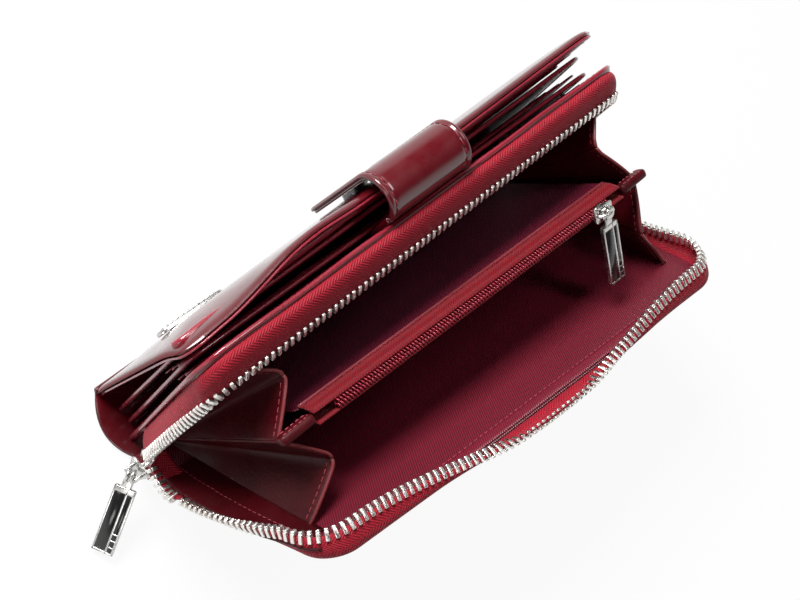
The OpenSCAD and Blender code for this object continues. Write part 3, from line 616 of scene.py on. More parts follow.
def teeth(name, edge, away_from, start, body, nodes):
    """Teeth at an even pitch along a free edge, their noses turned away from a second line."""
    run = run_of(edge)
    parts = []
    s = start
    while s < run[-1] - 1.3:
        i = min(np.searchsorted(run, s), len(run) - 1)
        along = unit(edge[i] - edge[i - 1])
        p = at_run(edge, run, s)
        out = p - at_run(away_from, run, s)
        out = unit(out - along * (out @ along))
        twist = np.radians(rng.normal(0, 1.2))
        ey = unit(along * math.cos(twist) + out * math.sin(twist))
        ex = unit(np.cross(np.cross(ey, out), ey))
        parts.append(placed(TOOTH, p, ex, ey, np.cross(ex, ey)))
        s += PITCH
    make(name, join_parts(parts), TOOTH_METAL, body, nodes)


# ---- walls and linings
WALL_RIM = (HALF, 1.9, WALL_H, CORNER)
panel("middle_wall_leather", MIDDLE, WALL_RIM, (-1.2, 1.3), 1.1, PATENT, "core",
      ["middle_wall", "middle_board"], dent=(SEAM_INSET, 0.12))
rim_stitch("middle_wall_stitch", MIDDLE, (HALF, 6, WALL_H, CORNER), -1.15, "core")
# The edge is thinner and lower where the tab is sewn in.
q = inset_line(HALF - 0.2, 2, WALL_H - 0.2, CORNER, 0.2)
under_tab = (np.abs(q[:, 0]) < 20) & (q[:, 1] > WALL_H - 3)
q[:, 1] -= np.where(under_tab, 0.5, 0)
edge_cord("middle_wall_edge", MIDDLE, q, -0.45 + 0.15 * np.sin(q[:, 0] / 7.0),
          np.where(under_tab, 0.5, 0.85), "core", 10)
panel("middle_wall_lining", MIDDLE, (HALF - 1, 1.9, WALL_H - 1, CORNER), (1.2, 1.8), 0.3, POCKET,
      "core", ["middle_lining"])


def back_wave(x, v):
    """The lining lies slack on the lower part of the back wall."""
    return 0.35 * np.sin(x / 31.0 + v / 40.0) * np.clip(1 - v / 110, 0, 1) * ramped(v, 6, 30)


panel("back_wall_leather", BACK, (HALF - 1.2, 3.6, BACK_H - 2.0, CORNER), (1.35, 3.7), 1.1, PATENT,
      "back_wall", ["back_shell", "back_board"], dent=(SEAM_INSET, 0.12))
rim_stitch("back_wall_stitch", BACK, (HALF - 1.2, 8, BACK_H - 2.0, CORNER), 3.62, "back_wall")
panel("back_wall_lining", BACK, (HALF - 1, 4.4, BACK_H - 1.4, CORNER), (0.5, 1.3), 0.4, LINING,
      "back_wall", ["back_lining"], warp=back_wave)

hem_rim = rim(HALF - 1.3, 12, BACK_H - 1.8, CORNER, 0, 0.2, 0.2, 0.2)
hem_in = rim(HALF - 5.6, 12, BACK_H - 6.1, CORNER - 4, 0, 0.25, 0.25, 0.25)
hem_mid = (hem_rim + hem_in) / 2 - [0, 0, 0.25]
top_run = np.abs(hem_rim[:, 0]) < 84
hem_rim, hem_mid, hem_in = (q[top_run] for q in (hem_rim, hem_mid, hem_in))
for q in (hem_rim, hem_mid, hem_in):
    q[:, 2] += back_wave(q[:, 0], q[:, 1])
ribbon("lining_hem", on_back(hem_rim), on_back(hem_mid), on_back(hem_in), 0.3, HEM, "back_wall",
       across=5)
make("hem_stitch", stitches(on_back(hem_in + [0, 0, -0.25])[4:-4], 2.4, 1.7, 0.2), PINK_THREAD,
     "back_wall")
ribbon("tape_front", front_seam, front_top, front_edge, TAPE_T, TAPE, "core", ["zip_tape_front"])
ribbon("tape_back", back_seam, back_top, back_edge, TAPE_T, TAPE, "back_wall", ["zip_tape_back"])
teeth("teeth_front", front_edge, front_top, 1.3, "core", ["zip_teeth_front"])
teeth("teeth_back", back_edge, back_top, 2.5, "back_wall", ["zip_teeth_back"])

# The stretch between the slider and the back wall bends between the two.
t = np.linspace(0, 1, 25)[:, None]
start = front_edge[0] + [0.6, 3.2, 0]
bend_edge = start + (back_edge[0] - start) * (0.97 * np.sin(np.pi / 2 * t))
bend_edge = bend_edge + np.sin(np.pi * t) * [0.6, -0.5, -4]
start = np.array([HALF - 1, FOLD[0] + 4, SLIDER_Z - 2])
bend_seam = start + (back_seam[0] - start) * (0.97 * t) + np.sin(np.pi * t) * [0, 0, -2]
bend_mid = (bend_edge + bend_seam) / 2 + [0.6, 0, -0.8]
BEND = ("core", "back_wall", bend_edge[0], bend_edge[-1])
ribbon("tape_bend", bend_seam, bend_mid, bend_edge, TAPE_T, TAPE, BEND, ["zip_tape_bend"])
teeth("teeth_bend", bend_edge, bend_mid, 1.3, BEND, ["zip_teeth_bend"])


# ---- spine
def spine_piece():
    """The folded strip below the walls. Both ends are drawn out and lifted into a shallow lip."""
    r, t = SPINE_R, SPINE_T
    q = r - t
    y0, y1 = r - SPINE_FRONT, SPINE_BACK - r

    def arc(y, ry, rz, a0, a1, n):
        a = math.pi * np.linspace(a0, a1, n)
        return np.stack([y + ry * np.cos(a), r + rz * np.sin(a)], -1)

    def flat(ya, yb, z):
        return np.stack([np.linspace(ya, yb, 14)[1:-1], np.full(12, z)], -1)

    tip = (r + q) / 2
    loop = np.concatenate([
        arc(y0, r, r, 1, 1.5, 9), flat(y0, y1, 0.0), arc(y1, r, r, 1.5, 2, 9),
        arc(y1 + tip, t / 2, 0.5, 0, 1, 6)[1:-1],
        arc(y1, q, q, 2, 1.5, 7), flat(y1, y0, t), arc(y0, q, q, 1.5, 1, 7),
        arc(y0 - tip, t / 2, 0.5, 0, 1, 6)[1:-1]])
    ends = np.array([0, 0.25, 0.7])
    xs = np.concatenate([ends - HALF, np.linspace(2 - HALF, HALF - 2, 60), HALF - ends[::-1]])
    nrm = np.roll(loop, -1, 0) - np.roll(loop, 1, 0)
    nrm = np.stack([nrm[:, 1], -nrm[:, 0]], -1)
    nrm /= np.linalg.norm(nrm, axis=1)[:, None] + 1e-9
    middle = np.clip(1 - ((loop[:, 0] + 5) / 14.5) ** 2, 0, 1)
    rings = []
    for x in xs:
        y, z = (loop - nrm * np.interp(HALF - abs(x), ends, [0.45, 0.12, 0.0])).T
        out = 6.0 * middle * ramped(abs(x), 70, 25) ** 2
        lift = 0.8 * ramped(abs(x), 85, 10) ** 2
        rings.append(np.stack([x + np.sign(x) * out, y, z + lift], -1))
    return np.concatenate(rings), swept_faces(len(xs), len(loop))


make("spine_leather", spine_piece(), PATENT, "core", ["spine"])


# ---- cover, card pockets and pages
def ease(t):
    t = np.clip(t, 0, 1)
    return t * t * (3 - 2 * t)


def cover_wave(x, v):
    """The cover bulges outwards, and its rim and near corner curl towards the pages."""
    side = 3.8 * ramped(v, 8, 80) * ramped(x, 74, 21) ** 2
    top = 3.5 * ease((x - 48) / 34) * ramped(v, 64, 28) ** 2
    rim_in = 1.6 * (1 - 0.8 * hump(x, 40, 14)) * ramped(v, 70, 22) ** 2
    rim_in = rim_in + 1.2 * ramped(-x, 84, 11) ** 2
    bulge = 1.6 * np.sin(np.pi * np.clip(v / 96, 0, 1)) * (1 - (x / 95) ** 6)
    return np.minimum(np.sqrt(side ** 2 + top ** 2), 4.0) + rim_in - bulge


COVER_T, COVER_CORNER = 2.4, 8
panel("cover_leather", COVER, (HALF, 0.4, COVER_H, COVER_CORNER), (0, COVER_T), COVER_T, PATENT,
      "front_cover", ["cover_shell", "cover_board"], warp=cover_wave)
panel("cover_inner", COVER, (HALF - 1, 1.4, COVER_H - 1, COVER_CORNER), (COVER_T, 3.1), 0.35, LEAF_SHADE_LEATHER,
      "front_cover", ["cover_lining"], warp=cover_wave)
q = inset_line(HALF - 0.4, 3, COVER_H - 0.4, COVER_CORNER, 0.2)
edge_cord("cover_edge", COVER, q, 2.5 + cover_wave(*q.T), 0.45, "front_cover")
for i, part in enumerate(("back", "middle", "front")):
    w = 3.1 + i * 0.7
    size = (HALF - 2 - i * 0.5, 2.4, COVER_H - 9 * (i + 0.6), 3)
    panel("card_layer_" + part, COVER, size, (w, w + 0.6), 0.3, LEAF_SHADE_LEATHER, "front_cover",
          ["card_pocket_" + part], dent=(1.8, 0.08))
    q = inset_line(*size, 0.2, False)
    radius = worn_edge(q[:, 0], (1.35, 0.8, 0.6)[i], 0.10, 2.3, 17.0)
    edge_cord("card_edge_" + part, COVER, q - [0, 0.6], w + 0.5, radius, "front_cover", 10)

for part, (wall, high) in PAGES.items():
    body = part + "_page"
    panel("page_leather_" + part, wall, (HALF - 3, 0, high, 6), (0.02, 0.98), 0.48, LEAF_SHADE_LEATHER, body,
          ["page_" + part], dent=(2.0, 0.1))
    q = inset_line(HALF - 3, 2, high, 6, 0.25)
    edge_cord("page_edge_" + part, wall, q, 0.5, 0.75, body, 10)
    rim_stitch("page_stitch_" + part, wall, (HALF - 3, 4, high, 6), 0.98, body, 2.0)


# Card pockets on the back page and on the middle wall, as the photo shows between the leaves.
def leaf_pocket(name, wall, i, face, high, body, warp=None):
    """Pocket i on the outer side of a leaf. Each one lies on the last."""
    w = face - 0.8 * (i + 0.5)
    size = (HALF - 4 - 0.6 * i, 3, high, 4)
    panel(name, wall, size, (w - 0.38, w + 0.38), 0.3, LEAF_SHADE_LEATHER, body, dent=(1.8, 0.08), warp=warp)
    q = inset_line(*size, 0.2, False)
    shift = warp(*q.T) if warp else 0.0
    radius = worn_edge(q[:, 0], 0.42, 0.12, 2.6, 15.0)
    edge_cord(name + "_edge", wall, q - [0, 0.3], w + shift, radius, body)


def back_page_fill(x, v):
    """The filled pockets stand fuller at the far end, where there is more room."""
    return -1.5 * ramped(-x, -40, 135) * np.clip(v / 60, 0, 1)


for i in range(3):
    leaf_pocket("page_pocket_%d" % (i + 1), PAGES["back"][0], i, 0.0, 75.0 - 8 * i, "back_page",
                back_page_fill)
for i in range(2):
    leaf_pocket("wall_pocket_%d" % (i + 1), MIDDLE, i, -1.75, 77.0 - 9 * i, "core")


# ---- badge and snap stud
def on_cover(part, x, v):
    """A fitting on the outer face of the curved cover, its z pointing outwards."""
    a = float(wall_angle(COVER, x))
    origin = wall_points(COVER, x, v, float(cover_wave(np.float64(x), np.float64(v))))
    up, out = (0, math.sin(a), math.cos(a)), (0, -math.cos(a), math.sin(a))
    return placed(part, origin, (1, 0, 0), up, out)


def stadium(length, width):
    """An outline with two straight sides and two half rounds."""
    r = width / 2
    ends = []
    for sign in (1, -1):
        for a in np.linspace(-math.pi / 2, math.pi / 2, 16):
            ends.append((sign * (length / 2 - r) + sign * r * math.cos(a), sign * r * math.sin(a)))
    return ends


BADGE_AT, STUD_AT = (70.0, 48.6), (0.0, 55.6)
SLANT = np.array([[1, 0, 0], [0.35, 1, 0], [0, 0, 1.0]])
badge = [plate(stadium(26, 6), -0.3, 0.9, 0.2)]
for k in range(11):
    v, f = rounded_box((0.6, 3.4, 0.8), 0.26, 3)
    badge.append((v @ SLANT + [-10.5 + 2.1 * k, 0, 1.2], f))
make("badge_metal", on_cover(join_parts(badge), *BADGE_AT), SILVER, "front_cover", ["badge"])
# The black field between the ribs is painted shade between the letters.
make("badge_shade_field", on_cover(plate(stadium(25.0, 5.0), 0.7, 1.02, 0.1), *BADGE_AT), BADGE_SHADE_BLACK,
     "front_cover")
# The stud is dark metal: painted shade under the tab.
stud = [plate(circle(5.0, 48), -0.3, 0.5, 0.2), plate(circle(2.25, 48), 0.3, 1.15, 0.3)]
make("snap_stud_metal", on_cover(join_parts(stud), *STUD_AT), SNAP_SHADE_METAL, "front_cover",
     ["snap_stud"])


# ---- coin pocket
def on_coin(x, v, w):
    return wall_points(COIN, x, v, w)


CLOTH_TOP = COIN_H - 6.7
for part, w, spread in (("front", COIN_MID - 1.0, -1.4), ("back", COIN_MID + 0.4, 0.6)):
    panel("coin_cloth_" + part, COIN, (COIN_HALF, 1.2, CLOTH_TOP, 2), (w, w + 0.6), 0.3, POCKET,
          "coin_pocket", ["coin_side_" + part], warp=lambda x, v, s=spread: s * v / CLOTH_TOP,
          taper=COIN_TAPER)

xs = np.linspace(COIN_HALF - 1, 1 - COIN_HALF, 90)
for part, w, w_top, outward in (("front", COIN_MID - 2.8, COIL_W - 1.9, -0.35),
                                ("back", COIN_MID + 2.0, COIL_W + 1.9, 0.35)):
    seam = on_coin(xs, COIN_H - 7, w)
    crest = on_coin(xs, COIN_H - 3.2, w + (w_top - w) * 0.15)
    ribbon("coin_tape_" + part, seam, crest, on_coin(xs, COIN_H + 0.2, w_top), 0.5, COIN_TAPE,
           "coin_pocket", ["coin_zip_tape"], 7)
    make("coin_stitch_" + part, stitches(on_coin(xs, COIN_H - 5.6, w + outward), 2.4, 1.6, 0.14),
         THREAD, "coin_pocket")
    # The folded edge of the coin cloth is lighter: a painted highlight along it.
    make("coin_fold_" + part, tube(on_coin(xs, COIN_H - 7, w + outward * 0.6), 0.42), SATIN_HIGHLIGHT,
         "coin_pocket", slot="lining")

coil_near, coil_far = on_coin(63.0, COIN_H, COIL_W), on_coin(-63.0, COIN_H, COIL_W)
coil_dir = unit(coil_near - coil_far)
coil_level = unit(np.cross([0, 0, 1], coil_dir))
coil_up = np.cross(coil_dir, coil_level)
length = np.linalg.norm(coil_near - coil_far)
turns = int(length / 1.25)
s = np.linspace(0, 1, turns * 10)
parts = []
for side, phase in ((-1, 0), (1, np.pi)):
    a = 2 * np.pi * turns * s + phase
    line = coil_far + np.outer(s * length, coil_dir)
    line = line + np.outer(side * 0.62 + 0.72 * np.cos(a), coil_level)
    parts.append(tube(line + np.outer(0.95 * np.sin(a), coil_up), 0.3, 5))
make("coin_coil", join_parts(parts), COIL, "coin_pocket", ["coin_zip_coil"])


def end_tab(end, x):
    """The stitched leather tab over an end of the coin zip."""
    a = float(wall_angle(COIN, x))
    c = on_coin(x, COIN_H - 1, COIL_W - 0.7)
    along, up = np.array([1, 0, 0]), np.array([0, math.sin(a), math.cos(a)])
    side = np.array([0, math.cos(a), -math.sin(a)])
    tab = placed(rounded_box((13.0, 3.4, 4.2), 1.5, 4), c, along, side, up)
    name = "coin_tab_" + end
    make(name, tab, SATIN, "coin_pocket", ["coin_end_" + end], slot="patent_leather")
    outline = rounded_rect(-5.2, 5.2, -1.5, 1.5, 1.4)
    loop = [c + along * p + up * q - side * 1.68 for p, q in outline]
    make(name + "_stitch", stitches(loop, 2.0, 1.4, 0.18), PINK_THREAD, "coin_pocket")


end_tab("near", COIN_HALF - 0.6 + 6.5)
end_tab("far", -(COIN_HALF - 0.6 + 6.5))


# ---- gussets
def wall_dir(a):
    return np.array([0, math.sin(a), math.cos(a)])


def ridge_dir(a):
    lean = math.radians(RIDGE_LEAN)
    flat = math.cos(lean)
    return np.array([-math.sin(lean), flat * math.sin(a), flat * math.cos(a)])


def fold_dir(a, b, ga, gb):
    """The crease at ga degrees from a and gb degrees from b, on the inner side."""
    ca, cb = math.cos(math.radians(ga)), math.cos(math.radians(gb))
    c = a @ b
    m = a * (ca - cb * c) / (1 - c * c) + b * (cb - ca * c) / (1 - c * c)
    n = unit(np.cross(a, b))
    return m + n * math.sqrt(max(0, 1 - m @ m)) * (-1 if n[0] > 0 else 1)


def fillet(r, angle, lean):
    """How far a soft fold is pulled into its valley, at a radius and an angle from the crease."""
    reach = 4.6 * (r / REACH) ** 0.5
    return reach * lean / 2 * np.clip(1 - r * np.sin(angle) / reach, 0, 1) ** 2


MIDDLE_SEWN = -math.atan((FOLD[0] - 1.8 - 0.7) / REACH)


def gusset(end, number):
    """A panel of the W fold. Panels 1 and 4 are sewn to a wall, 2 and 3 to the coin pocket."""
    s = 1 if end == "near" else -1
    wall = wall_dir(MIDDLE_SEWN if number < 3 else float(wall_angle(BACK, s * APEX_X)))
    ridge = ridge_dir(float(wall_angle(COIN, s * APEX_X)))
    crease = fold_dir(wall, ridge, SECTOR_WALL, SECTOR_RIDGE)
    on_wall = number in (1, 4)
    sewn = wall if on_wall else ridge
    sector = math.radians(SECTOR_WALL if on_wall else SECTOR_RIDGE)
    drop, sag = (1.0, 0.9) if on_wall else (3.0, 0.6)
    ey = unit(np.cross(sewn, crease))
    ex = np.cross(ey, sewn)
    away = [unit(q - (q @ crease) * crease) for q in (wall, ridge)]
    bisector = unit(away[0] + away[1])
    lean = float(bisector @ away[0])
    na, nr = 22, 40
    ang = np.linspace(0, sector, na)
    k = ang / sector
    top = (REACH - drop) + drop * k ** 0.8 - 0.6 * ramped(k, 0.9, 0.1) ** 2

    def at(r, a, off):
        """Points at a radius and an angle from the sewn edge, and a distance off the panel."""
        r, a, off = r[..., None], a[..., None], off[..., None]
        flat = r * (np.cos(a) * sewn + np.sin(a) * ex)
        p = np.array([APEX_X, *FOLD]) + flat + off * ey + fillet(r, sector - a, lean) * bisector
        return p * [s, 1, 1]

    R = 4 + (top[:, None] - 4) * np.linspace(0, 1, nr)[None]
    A = np.repeat(ang[:, None], nr, 1)
    hollow = 0.25 * sag * np.sin(np.pi * k)[:, None] * (R / REACH)
    d_top = top[:, None] - R
    thick = 0.5 * rounded(d_top, 0.55) - 0.12 * hump(d_top, 2.2, 0.4)
    name = "gusset_%s_%d" % (end, number)
    body = name + "_panel"
    make_sheet("leather_" + name, [at(R, A, hollow - thick), at(R, A, hollow + thick)],
               (25 * k[:, None], R), SATIN, body, [name])
    # The rounded top fold is lighter: a painted highlight along it.
    make("edge_" + name, tube(at(top, ang, hollow[:, -1]), 0.56), SATIN_HIGHLIGHT, body)
    seams = [at(top - 2.2, ang, hollow[:, -1] + side) for side in (-0.42, 0.42)]
    threads = join_parts([stitches(q, *FINE_STITCH) for q in seams])
    make("stitch_" + name, threads, PINK_THREAD, body)


for end in ("near", "far"):
    for number in (1, 2, 3, 4):
        gusset(end, number)


# The gusset leather is sewn over the lining, out to the teeth at the slider end.
def flange(end, s, outer, low, high, crested):
    name = "flange_" + end
    v = np.linspace(low, high, len(outer))
    inner = wall_points(BACK, s * (APEX_X - 1.5), v, -0.05)
    crest = wall_points(BACK, s * (HALF - 1.0), v, -0.7) if crested else (inner + outer) / 2
    ribbon(name, inner, crest, outer, 0.6, SATIN, "back_wall")
    make(name + "_edge", tube(outer, 0.5), SATIN, "back_wall")
    line = resample(inner * 0.35 + crest * 0.3 + outer * 0.35, 0.8) + [0, -0.3, 0.3]
    make(name + "_stitch", stitches(line, *FINE_STITCH), PINK_THREAD, "back_wall")


PULL = 0.46  # how far the flange reaches in from the free edge of the tape
near_run = np.concatenate([bend_edge * (1 - PULL) + bend_mid * PULL,
                           (back_edge * (1 - PULL) + back_top * PULL)[1:31]])
flange("near", 1, near_run[7:], 19, 84, True)
far_v = np.linspace(10, 80, 30)
far_x = APEX_X + (HALF - 1.2 - APEX_X) * (1 - (far_v / 81) ** 3)
flange("far", -1, wall_points(BACK, -far_x, far_v, 0.1), 10, 80, False)


# ---- closing tab
def tab_centre(r, length, n=30, m=26):
    """(y, z) over the arch and down to the tip."""
    a = np.radians(np.linspace(0, ARCH_END, n))
    arc = np.stack([ARCH_Y + r * np.cos(a), TAB_FOLD[1] + r * np.sin(a)], -1)
    down = np.array([-math.sin(a[-1]), math.cos(a[-1])])
    return np.concatenate([arc, arc[-1] + np.outer(np.linspace(0, length, m)[1:], down)])


def tab_strap(name, r_mid, thick, half_w, length, nodes):
    """A strap with rounded long edges, from the arch to a rounded tip."""
    tip_r = 9.0
    c = tab_centre(r_mid, length)
    tang = np.gradient(c, axis=0)
    tang /= np.linalg.norm(tang, axis=1)[:, None]
    nrm = np.stack([-tang[:, 1], tang[:, 0]], -1)
    run = run_of(c)
    left = run[-1] - run
    inset = tip_r - np.sqrt(np.maximum(tip_r ** 2 - (tip_r - left) ** 2, 0))
    half = half_w - np.where(left < tip_r, inset, 0)
    k = spaced(44, 0.6) * 2 - 1
    X = half[:, None] * k[None]
    d = np.minimum(half[:, None] * (1 - np.abs(k))[None], left[:, None])
    skin = thick / 2 * rounded(d, thick / 2) - 0.30 * hump(d, TAB_SEAM, 0.5)
    sides = []
    for w in (-skin - 0.34 * hump(d, 1.1, 0.9), skin):
        y, z = (c[:, i, None] + nrm[:, i, None] * w for i in (0, 1))
        sides.append(np.stack([X, y, z], -1))
    make_sheet(name, sides, (X, run[:, None]), PATENT, "closing_tab", nodes)
    return c, nrm, half, left


c, nrm, half, left = tab_strap("tab_leather_outer", ARCH_R + 1.65, 1.1, 18.0, TAB_DROP,
                               ["tab_outer"])
seen = (half - TAB_SEAM > 1.0) & (left > TAB_SEAM) & (np.arange(len(c)) > 1)
out = np.column_stack([half - TAB_SEAM, c - nrm * 0.5])[seen]
make("tab_stitch", stitches(np.concatenate([out, out[::-1] * [-1, 1, 1]])), THREAD, "closing_tab")
tab_strap("tab_leather_inner", ARCH_R + 0.55, 1.05, 17.5, TAB_DROP - 0.5, ["tab_inner"])
tab_root = moved(rounded_box((36.0, 2.2, 14.0), 0.9, 4), [0, -2.4, 87.0])
make("tab_root_leather", tab_root, PATENT, "core", ["tab_root"])


# ---- sliders and pullers
def slider_outline(length, half_w):
    up = [(-0.5, 0.62), (-0.36, 0.72), (0.1, 0.8), (0.34, 1), (0.46, 0.84), (0.5, 0.4)]
    pts = [(x * length, y * half_w) for x, y in up]
    return pts + [(0.44 * length, 0)] + [(x, -y) for x, y in pts[::-1]]


def puller():
    """(frame, enamel) of a pull plate along +x, its eye at the origin and its face along +z."""
    x0, length, width, thick, border, narrow = 4.4, 23.0, 7.4, 1.6, 0.7, 1.5
    x1, y0, y1, face = x0 + length, -width / 2, width / 2, thick / 2
    split = y1 - border - narrow

    def block(xa, xb, ya, yb, height, bevel, segments, sink):
        box = rounded_box((xb - xa, yb - ya, height), bevel, segments)
        return moved(box, [(xa + xb) / 2, (ya + yb) / 2, face - sink])

    bars = [(x0, x1, y0, y0 + border), (x0, x1, y1 - border, y1), (x0, x0 + border + 1.2, y0, y1),
            (x1 - border, x1, y0, y1), (x0, x1, split - border, split)]
    for i in range(1, 4):
        e = x1 - i * (1.6 + border)
        bars.append((e - border * 0.6, e, split - border, y1))
    base = plate(rounded_rect(x0, x1, y0, y1, 0.5, 3), -face, face - 0.45, 0.18)
    middle, reach = (x0 + x1) / 2 + 0.6, (length - 2.4 - border) / 2
    fields = [(middle - reach, middle + reach, y0 + border, split - border),
              (middle - reach, middle + reach, split, y1 - border)]
    return (join_parts([base, *(block(*q, 0.9, 0.14, 2, 0.42) for q in bars)]),
            join_parts([block(*q, 0.5, 0.08, 1, 0.28) for q in fields]))


def arc_points(r, a0, a1, n, upright_plane):
    """Points of an arc about y, or about z."""
    a = np.radians(np.linspace(a0, a1, n))
    p, q, z = r * np.cos(a), r * np.sin(a), np.zeros(n)
    return np.stack([p, z, q] if upright_plane else [p, q, z], -1)


def fitting(name, parts, frame_at, body, node_name, material=SILVER):
    """A metal piece from parts drawn in a frame of their own: (origin, ex, ey, ez)."""
    make(name, join_parts([placed(q, *frame_at) for q in parts]), material, body, [node_name])


# Outer slider, in its own frame: x up along the zip, z out of the end.
first = upright(rim(HALF, SLIDER_Z, ROW_TOP, CORNER, 6, ROW_Y, ROW_Y, ROW_Y, steps=12, arcs=6))
slider_up = unit(first[1] - first[0])
slider_face = unit(-np.cross(slider_up, [0, 1, 0]))
slider_at = first[0] + np.array([0.3, 1.6, -7.0])
gap, thick = 3.2, 1.0
crown_z = gap / 2 + thick
eye_z = crown_z + 2.7
parts = [plate(slider_outline(10, 4.4), z, z + thick, 0.3, 3) for z in (gap / 2, -gap / 2 - thick)]
parts.append(moved(rounded_box((2.2, 1.8, gap + 1), 0.4), [2.9, 0, 0]))
for y in (-2.3, 2.3):
    parts.append(moved(rounded_box((2.0, 1.1, 3.6), 0.35, 3), [0, y, crown_z + 1.3]))
pin = [[0, y, eye_z] for y in (-2.9, -2.6, 2.6, 2.9)]
parts.append(tube(pin, [0.5, 0.8, 0.8, 0.5], 16))
slider_frame = (slider_at, slider_up, np.cross(slider_face, slider_up), slider_face)
fitting("slider_metal", parts, slider_frame, "core", "zip_slider")

# The outer puller hangs from the bail, turned sideways by skew, with its tip on the table.
pivot = slider_at + slider_face * eye_z
skew = math.radians(30)
tilt = math.asin((pivot[2] - 1.6) / (27.4 * math.cos(skew) + 3.7 * math.sin(skew)))
pz = np.array([math.sin(tilt), 0, math.cos(tilt)])
px = np.array([math.cos(tilt), 0, -math.sin(tilt)]) * math.cos(skew) + [0, math.sin(skew), 0]
hang = (pivot, px, np.cross(pz, px), pz)
frame_part, enamel_part = puller()
parts = [frame_part]
for s in (-1, 1):
    loop = arc_points(1.75, 60, 300, 15, True) + [0, s * 0.75, 0]
    wire = np.concatenate([[[5.0, s * 1.25, 0], [2.6, s * 1.35, 0]], loop, [[2.6, s * 1.35, -0.2]]])
    parts.append(tube(wire, 0.55, 10))
parts.append(moved(rounded_box((3.4, 3.6, 1.5), 0.5, 3), [3.4, 0, 0]))
fitting("puller_metal", parts, hang, "zip_puller", "zip_puller_frame")
fitting("puller_black", [enamel_part], hang, "zip_puller", "zip_puller_enamel", ENAMEL)

# Coin slider, in its own frame: x along the coil, z out of its face.
coin_x = -58.0
coin_at = coil_far + (coil_near - coil_far) * (coin_x - coil_far[0]) / (coil_near[0] - coil_far[0])
turned = float(wall_angle(COIN, coin_x)) + math.radians(17)
coin_side = unit(np.cross([0, math.sin(turned), math.cos(turned)], coil_dir))
coin_face = np.cross(coil_dir, coin_side)
bridge = arc_points(3.1, 12, 168, 17, True) * [1.15, 1, 1.0] + [0, 0, 2.4]
parts = [plate(slider_outline(9, 3.4), 1.7, 2.8, 0.35, 3),
         tube([[0, 0, 2.4], [0, 0, 5.0]], 0.9, 16),
         plate(circle(2.0, 28), 5.0, 5.75, 0.35, 3), tube(bridge, 0.62, 10)]
fitting("coin_slider_metal", parts, (coin_at, coil_dir, coin_side, coin_face), "coin_slider",
        "coin_slider")
hang = (coin_at + coin_face * 3.9, coin_side, -coil_dir, coin_face)
parts = [frame_part, tube(arc_points(1.75, 20, 340, 25, False), 0.55, 10),
         moved(rounded_box((3.6, 3.2, 1.4), 0.5, 3), [3.5, 0, 0])]
fitting("coin_puller_metal", parts, hang, "coin_puller", "coin_puller_frame")
fitting("coin_puller_black", [enamel_part], hang, "coin_puller", "coin_puller_enamel", ENAMEL)


# ---- CAD nodes that show as they are
FINISH = {
    # The snap socket is dark metal: painted shade under the tab.
    "compartment_floor": POCKET, "zip_tail": TAPE, "snap_socket": SNAP_SHADE_METAL,
    "ridge_near": SATIN, "ridge_far": SATIN,
}
for name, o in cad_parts.items():
    o.data.materials.clear()
    o.data.materials.append(FINISH.get(name, BOARD))
    if "UVMap" not in o.data.uv_layers:
        o.data.uv_layers.new(name="UVMap")


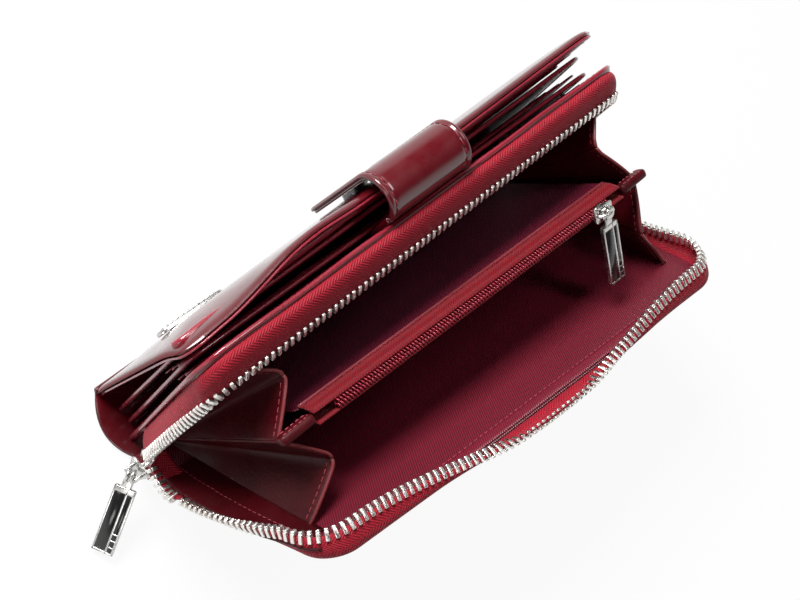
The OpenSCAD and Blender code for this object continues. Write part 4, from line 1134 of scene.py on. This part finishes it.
# ---- floor, light and camera
def floor():
    """A pale floor that takes the object's shadow and shows white to the camera and in metal."""
    bpy.ops.mesh.primitive_plane_add(size=6.0, location=(0, 0, 0))
    o = bpy.context.object
    o.name = "floor"
    m, t, b = new_material("floor")
    out = t.nodes["Material Output"]
    finish(b, Base_Color=(0.88, 0.88, 0.88, 1), Roughness=0.9)
    ray = node(t, "ShaderNodeLightPath")
    white = node(t, "ShaderNodeEmission", {"Color": (1, 1, 1, 1), "Strength": 0.99})
    seen = ray.outputs["Is Camera Ray"]
    for kind in ("Is Glossy Ray", "Is Transmission Ray"):
        seen = math_node(t, "MAXIMUM", seen, ray.outputs[kind])
    share = math_node(t, "MULTIPLY", seen, 0.94)
    mix = node(t, "ShaderNodeMixShader", {0: share, 1: b.outputs[0], 2: white.outputs[0]})
    put(out.inputs["Surface"], mix.outputs[0])
    o.data.materials.append(m)
    o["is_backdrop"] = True


def area(name, place, target, size, energy):
    d = bpy.data.lights.new(name, "AREA")
    d.shape = "RECTANGLE"
    d.size, d.size_y = size
    d.energy = energy
    o = bpy.data.objects.new(name, d)
    o.location = place
    o.rotation_euler = (Vector(target) - Vector(place)).to_track_quat("-Z", "Y").to_euler()
    bpy.context.scene.collection.objects.link(o)
    o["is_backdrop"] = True


floor()
area("key", (0.10, -0.52, 0.66), (0, 0.03, 0.05), (0.42, 0.30), 12.0)
area("top", (-0.20, 0.02, 0.95), (0, 0.02, 0.05), (0.5, 0.16), 2.2)
area("near", (0.75, 0.10, 0.55), (0.05, 0, 0.05), (0.22, 0.3), 1.1)


def studio():
    """A white backdrop below and a dark ceiling above, with little fill light."""
    world = bpy.data.worlds.new("studio")
    bpy.context.scene.world = world
    world.use_nodes = True
    t = world.node_tree
    back = t.nodes["Background"]
    ray = node(t, "ShaderNodeLightPath")
    generated = node(t, "ShaderNodeTexCoord").outputs["Generated"]
    way = node(t, "ShaderNodeSeparateXYZ", {0: generated})
    gloss = ramp(t, way.outputs["Z"], [(0.0, (1.0,)), (0.25, (0.9,)), (0.5, (0.05,))])
    fill = node(t, "ShaderNodeMix", {"Factor": ray.outputs["Is Diffuse Ray"], "A": 1.0, "B": 0.07})
    shown = node(t, "ShaderNodeMix", {"Factor": ray.outputs["Is Camera Ray"], "A": gloss, "B": 1.0})
    put(back.inputs["Color"], (1, 1, 1, 1))
    level = math_node(t, "MULTIPLY", fill.outputs["Result"], shown.outputs["Result"])
    put(back.inputs["Strength"], level)


studio()
# The camera's lens, axes and place in metres are fitted to the photograph.
cam_data = bpy.data.cameras.new("camera")
cam = bpy.data.objects.new("camera", cam_data)
bpy.context.scene.collection.objects.link(cam)
cam_data.sensor_width = 36.0
cam_data.lens = 59.7
cam_data.clip_start, cam_data.clip_end = 0.02, 10.0
axes = ((-0.69189, 0.61507, 0.37812), (-0.53859, -0.78847, 0.29705), (0.48084, 0.00187, 0.87680))
place = Matrix.Translation((0.22164, 0.01959, 0.44110))
cam.matrix_world = place @ Matrix(axes).transposed().to_4x4()
bpy.context.scene.camera = cam
bpy.context.scene.view_settings.view_transform = "Standard"

low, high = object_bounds()
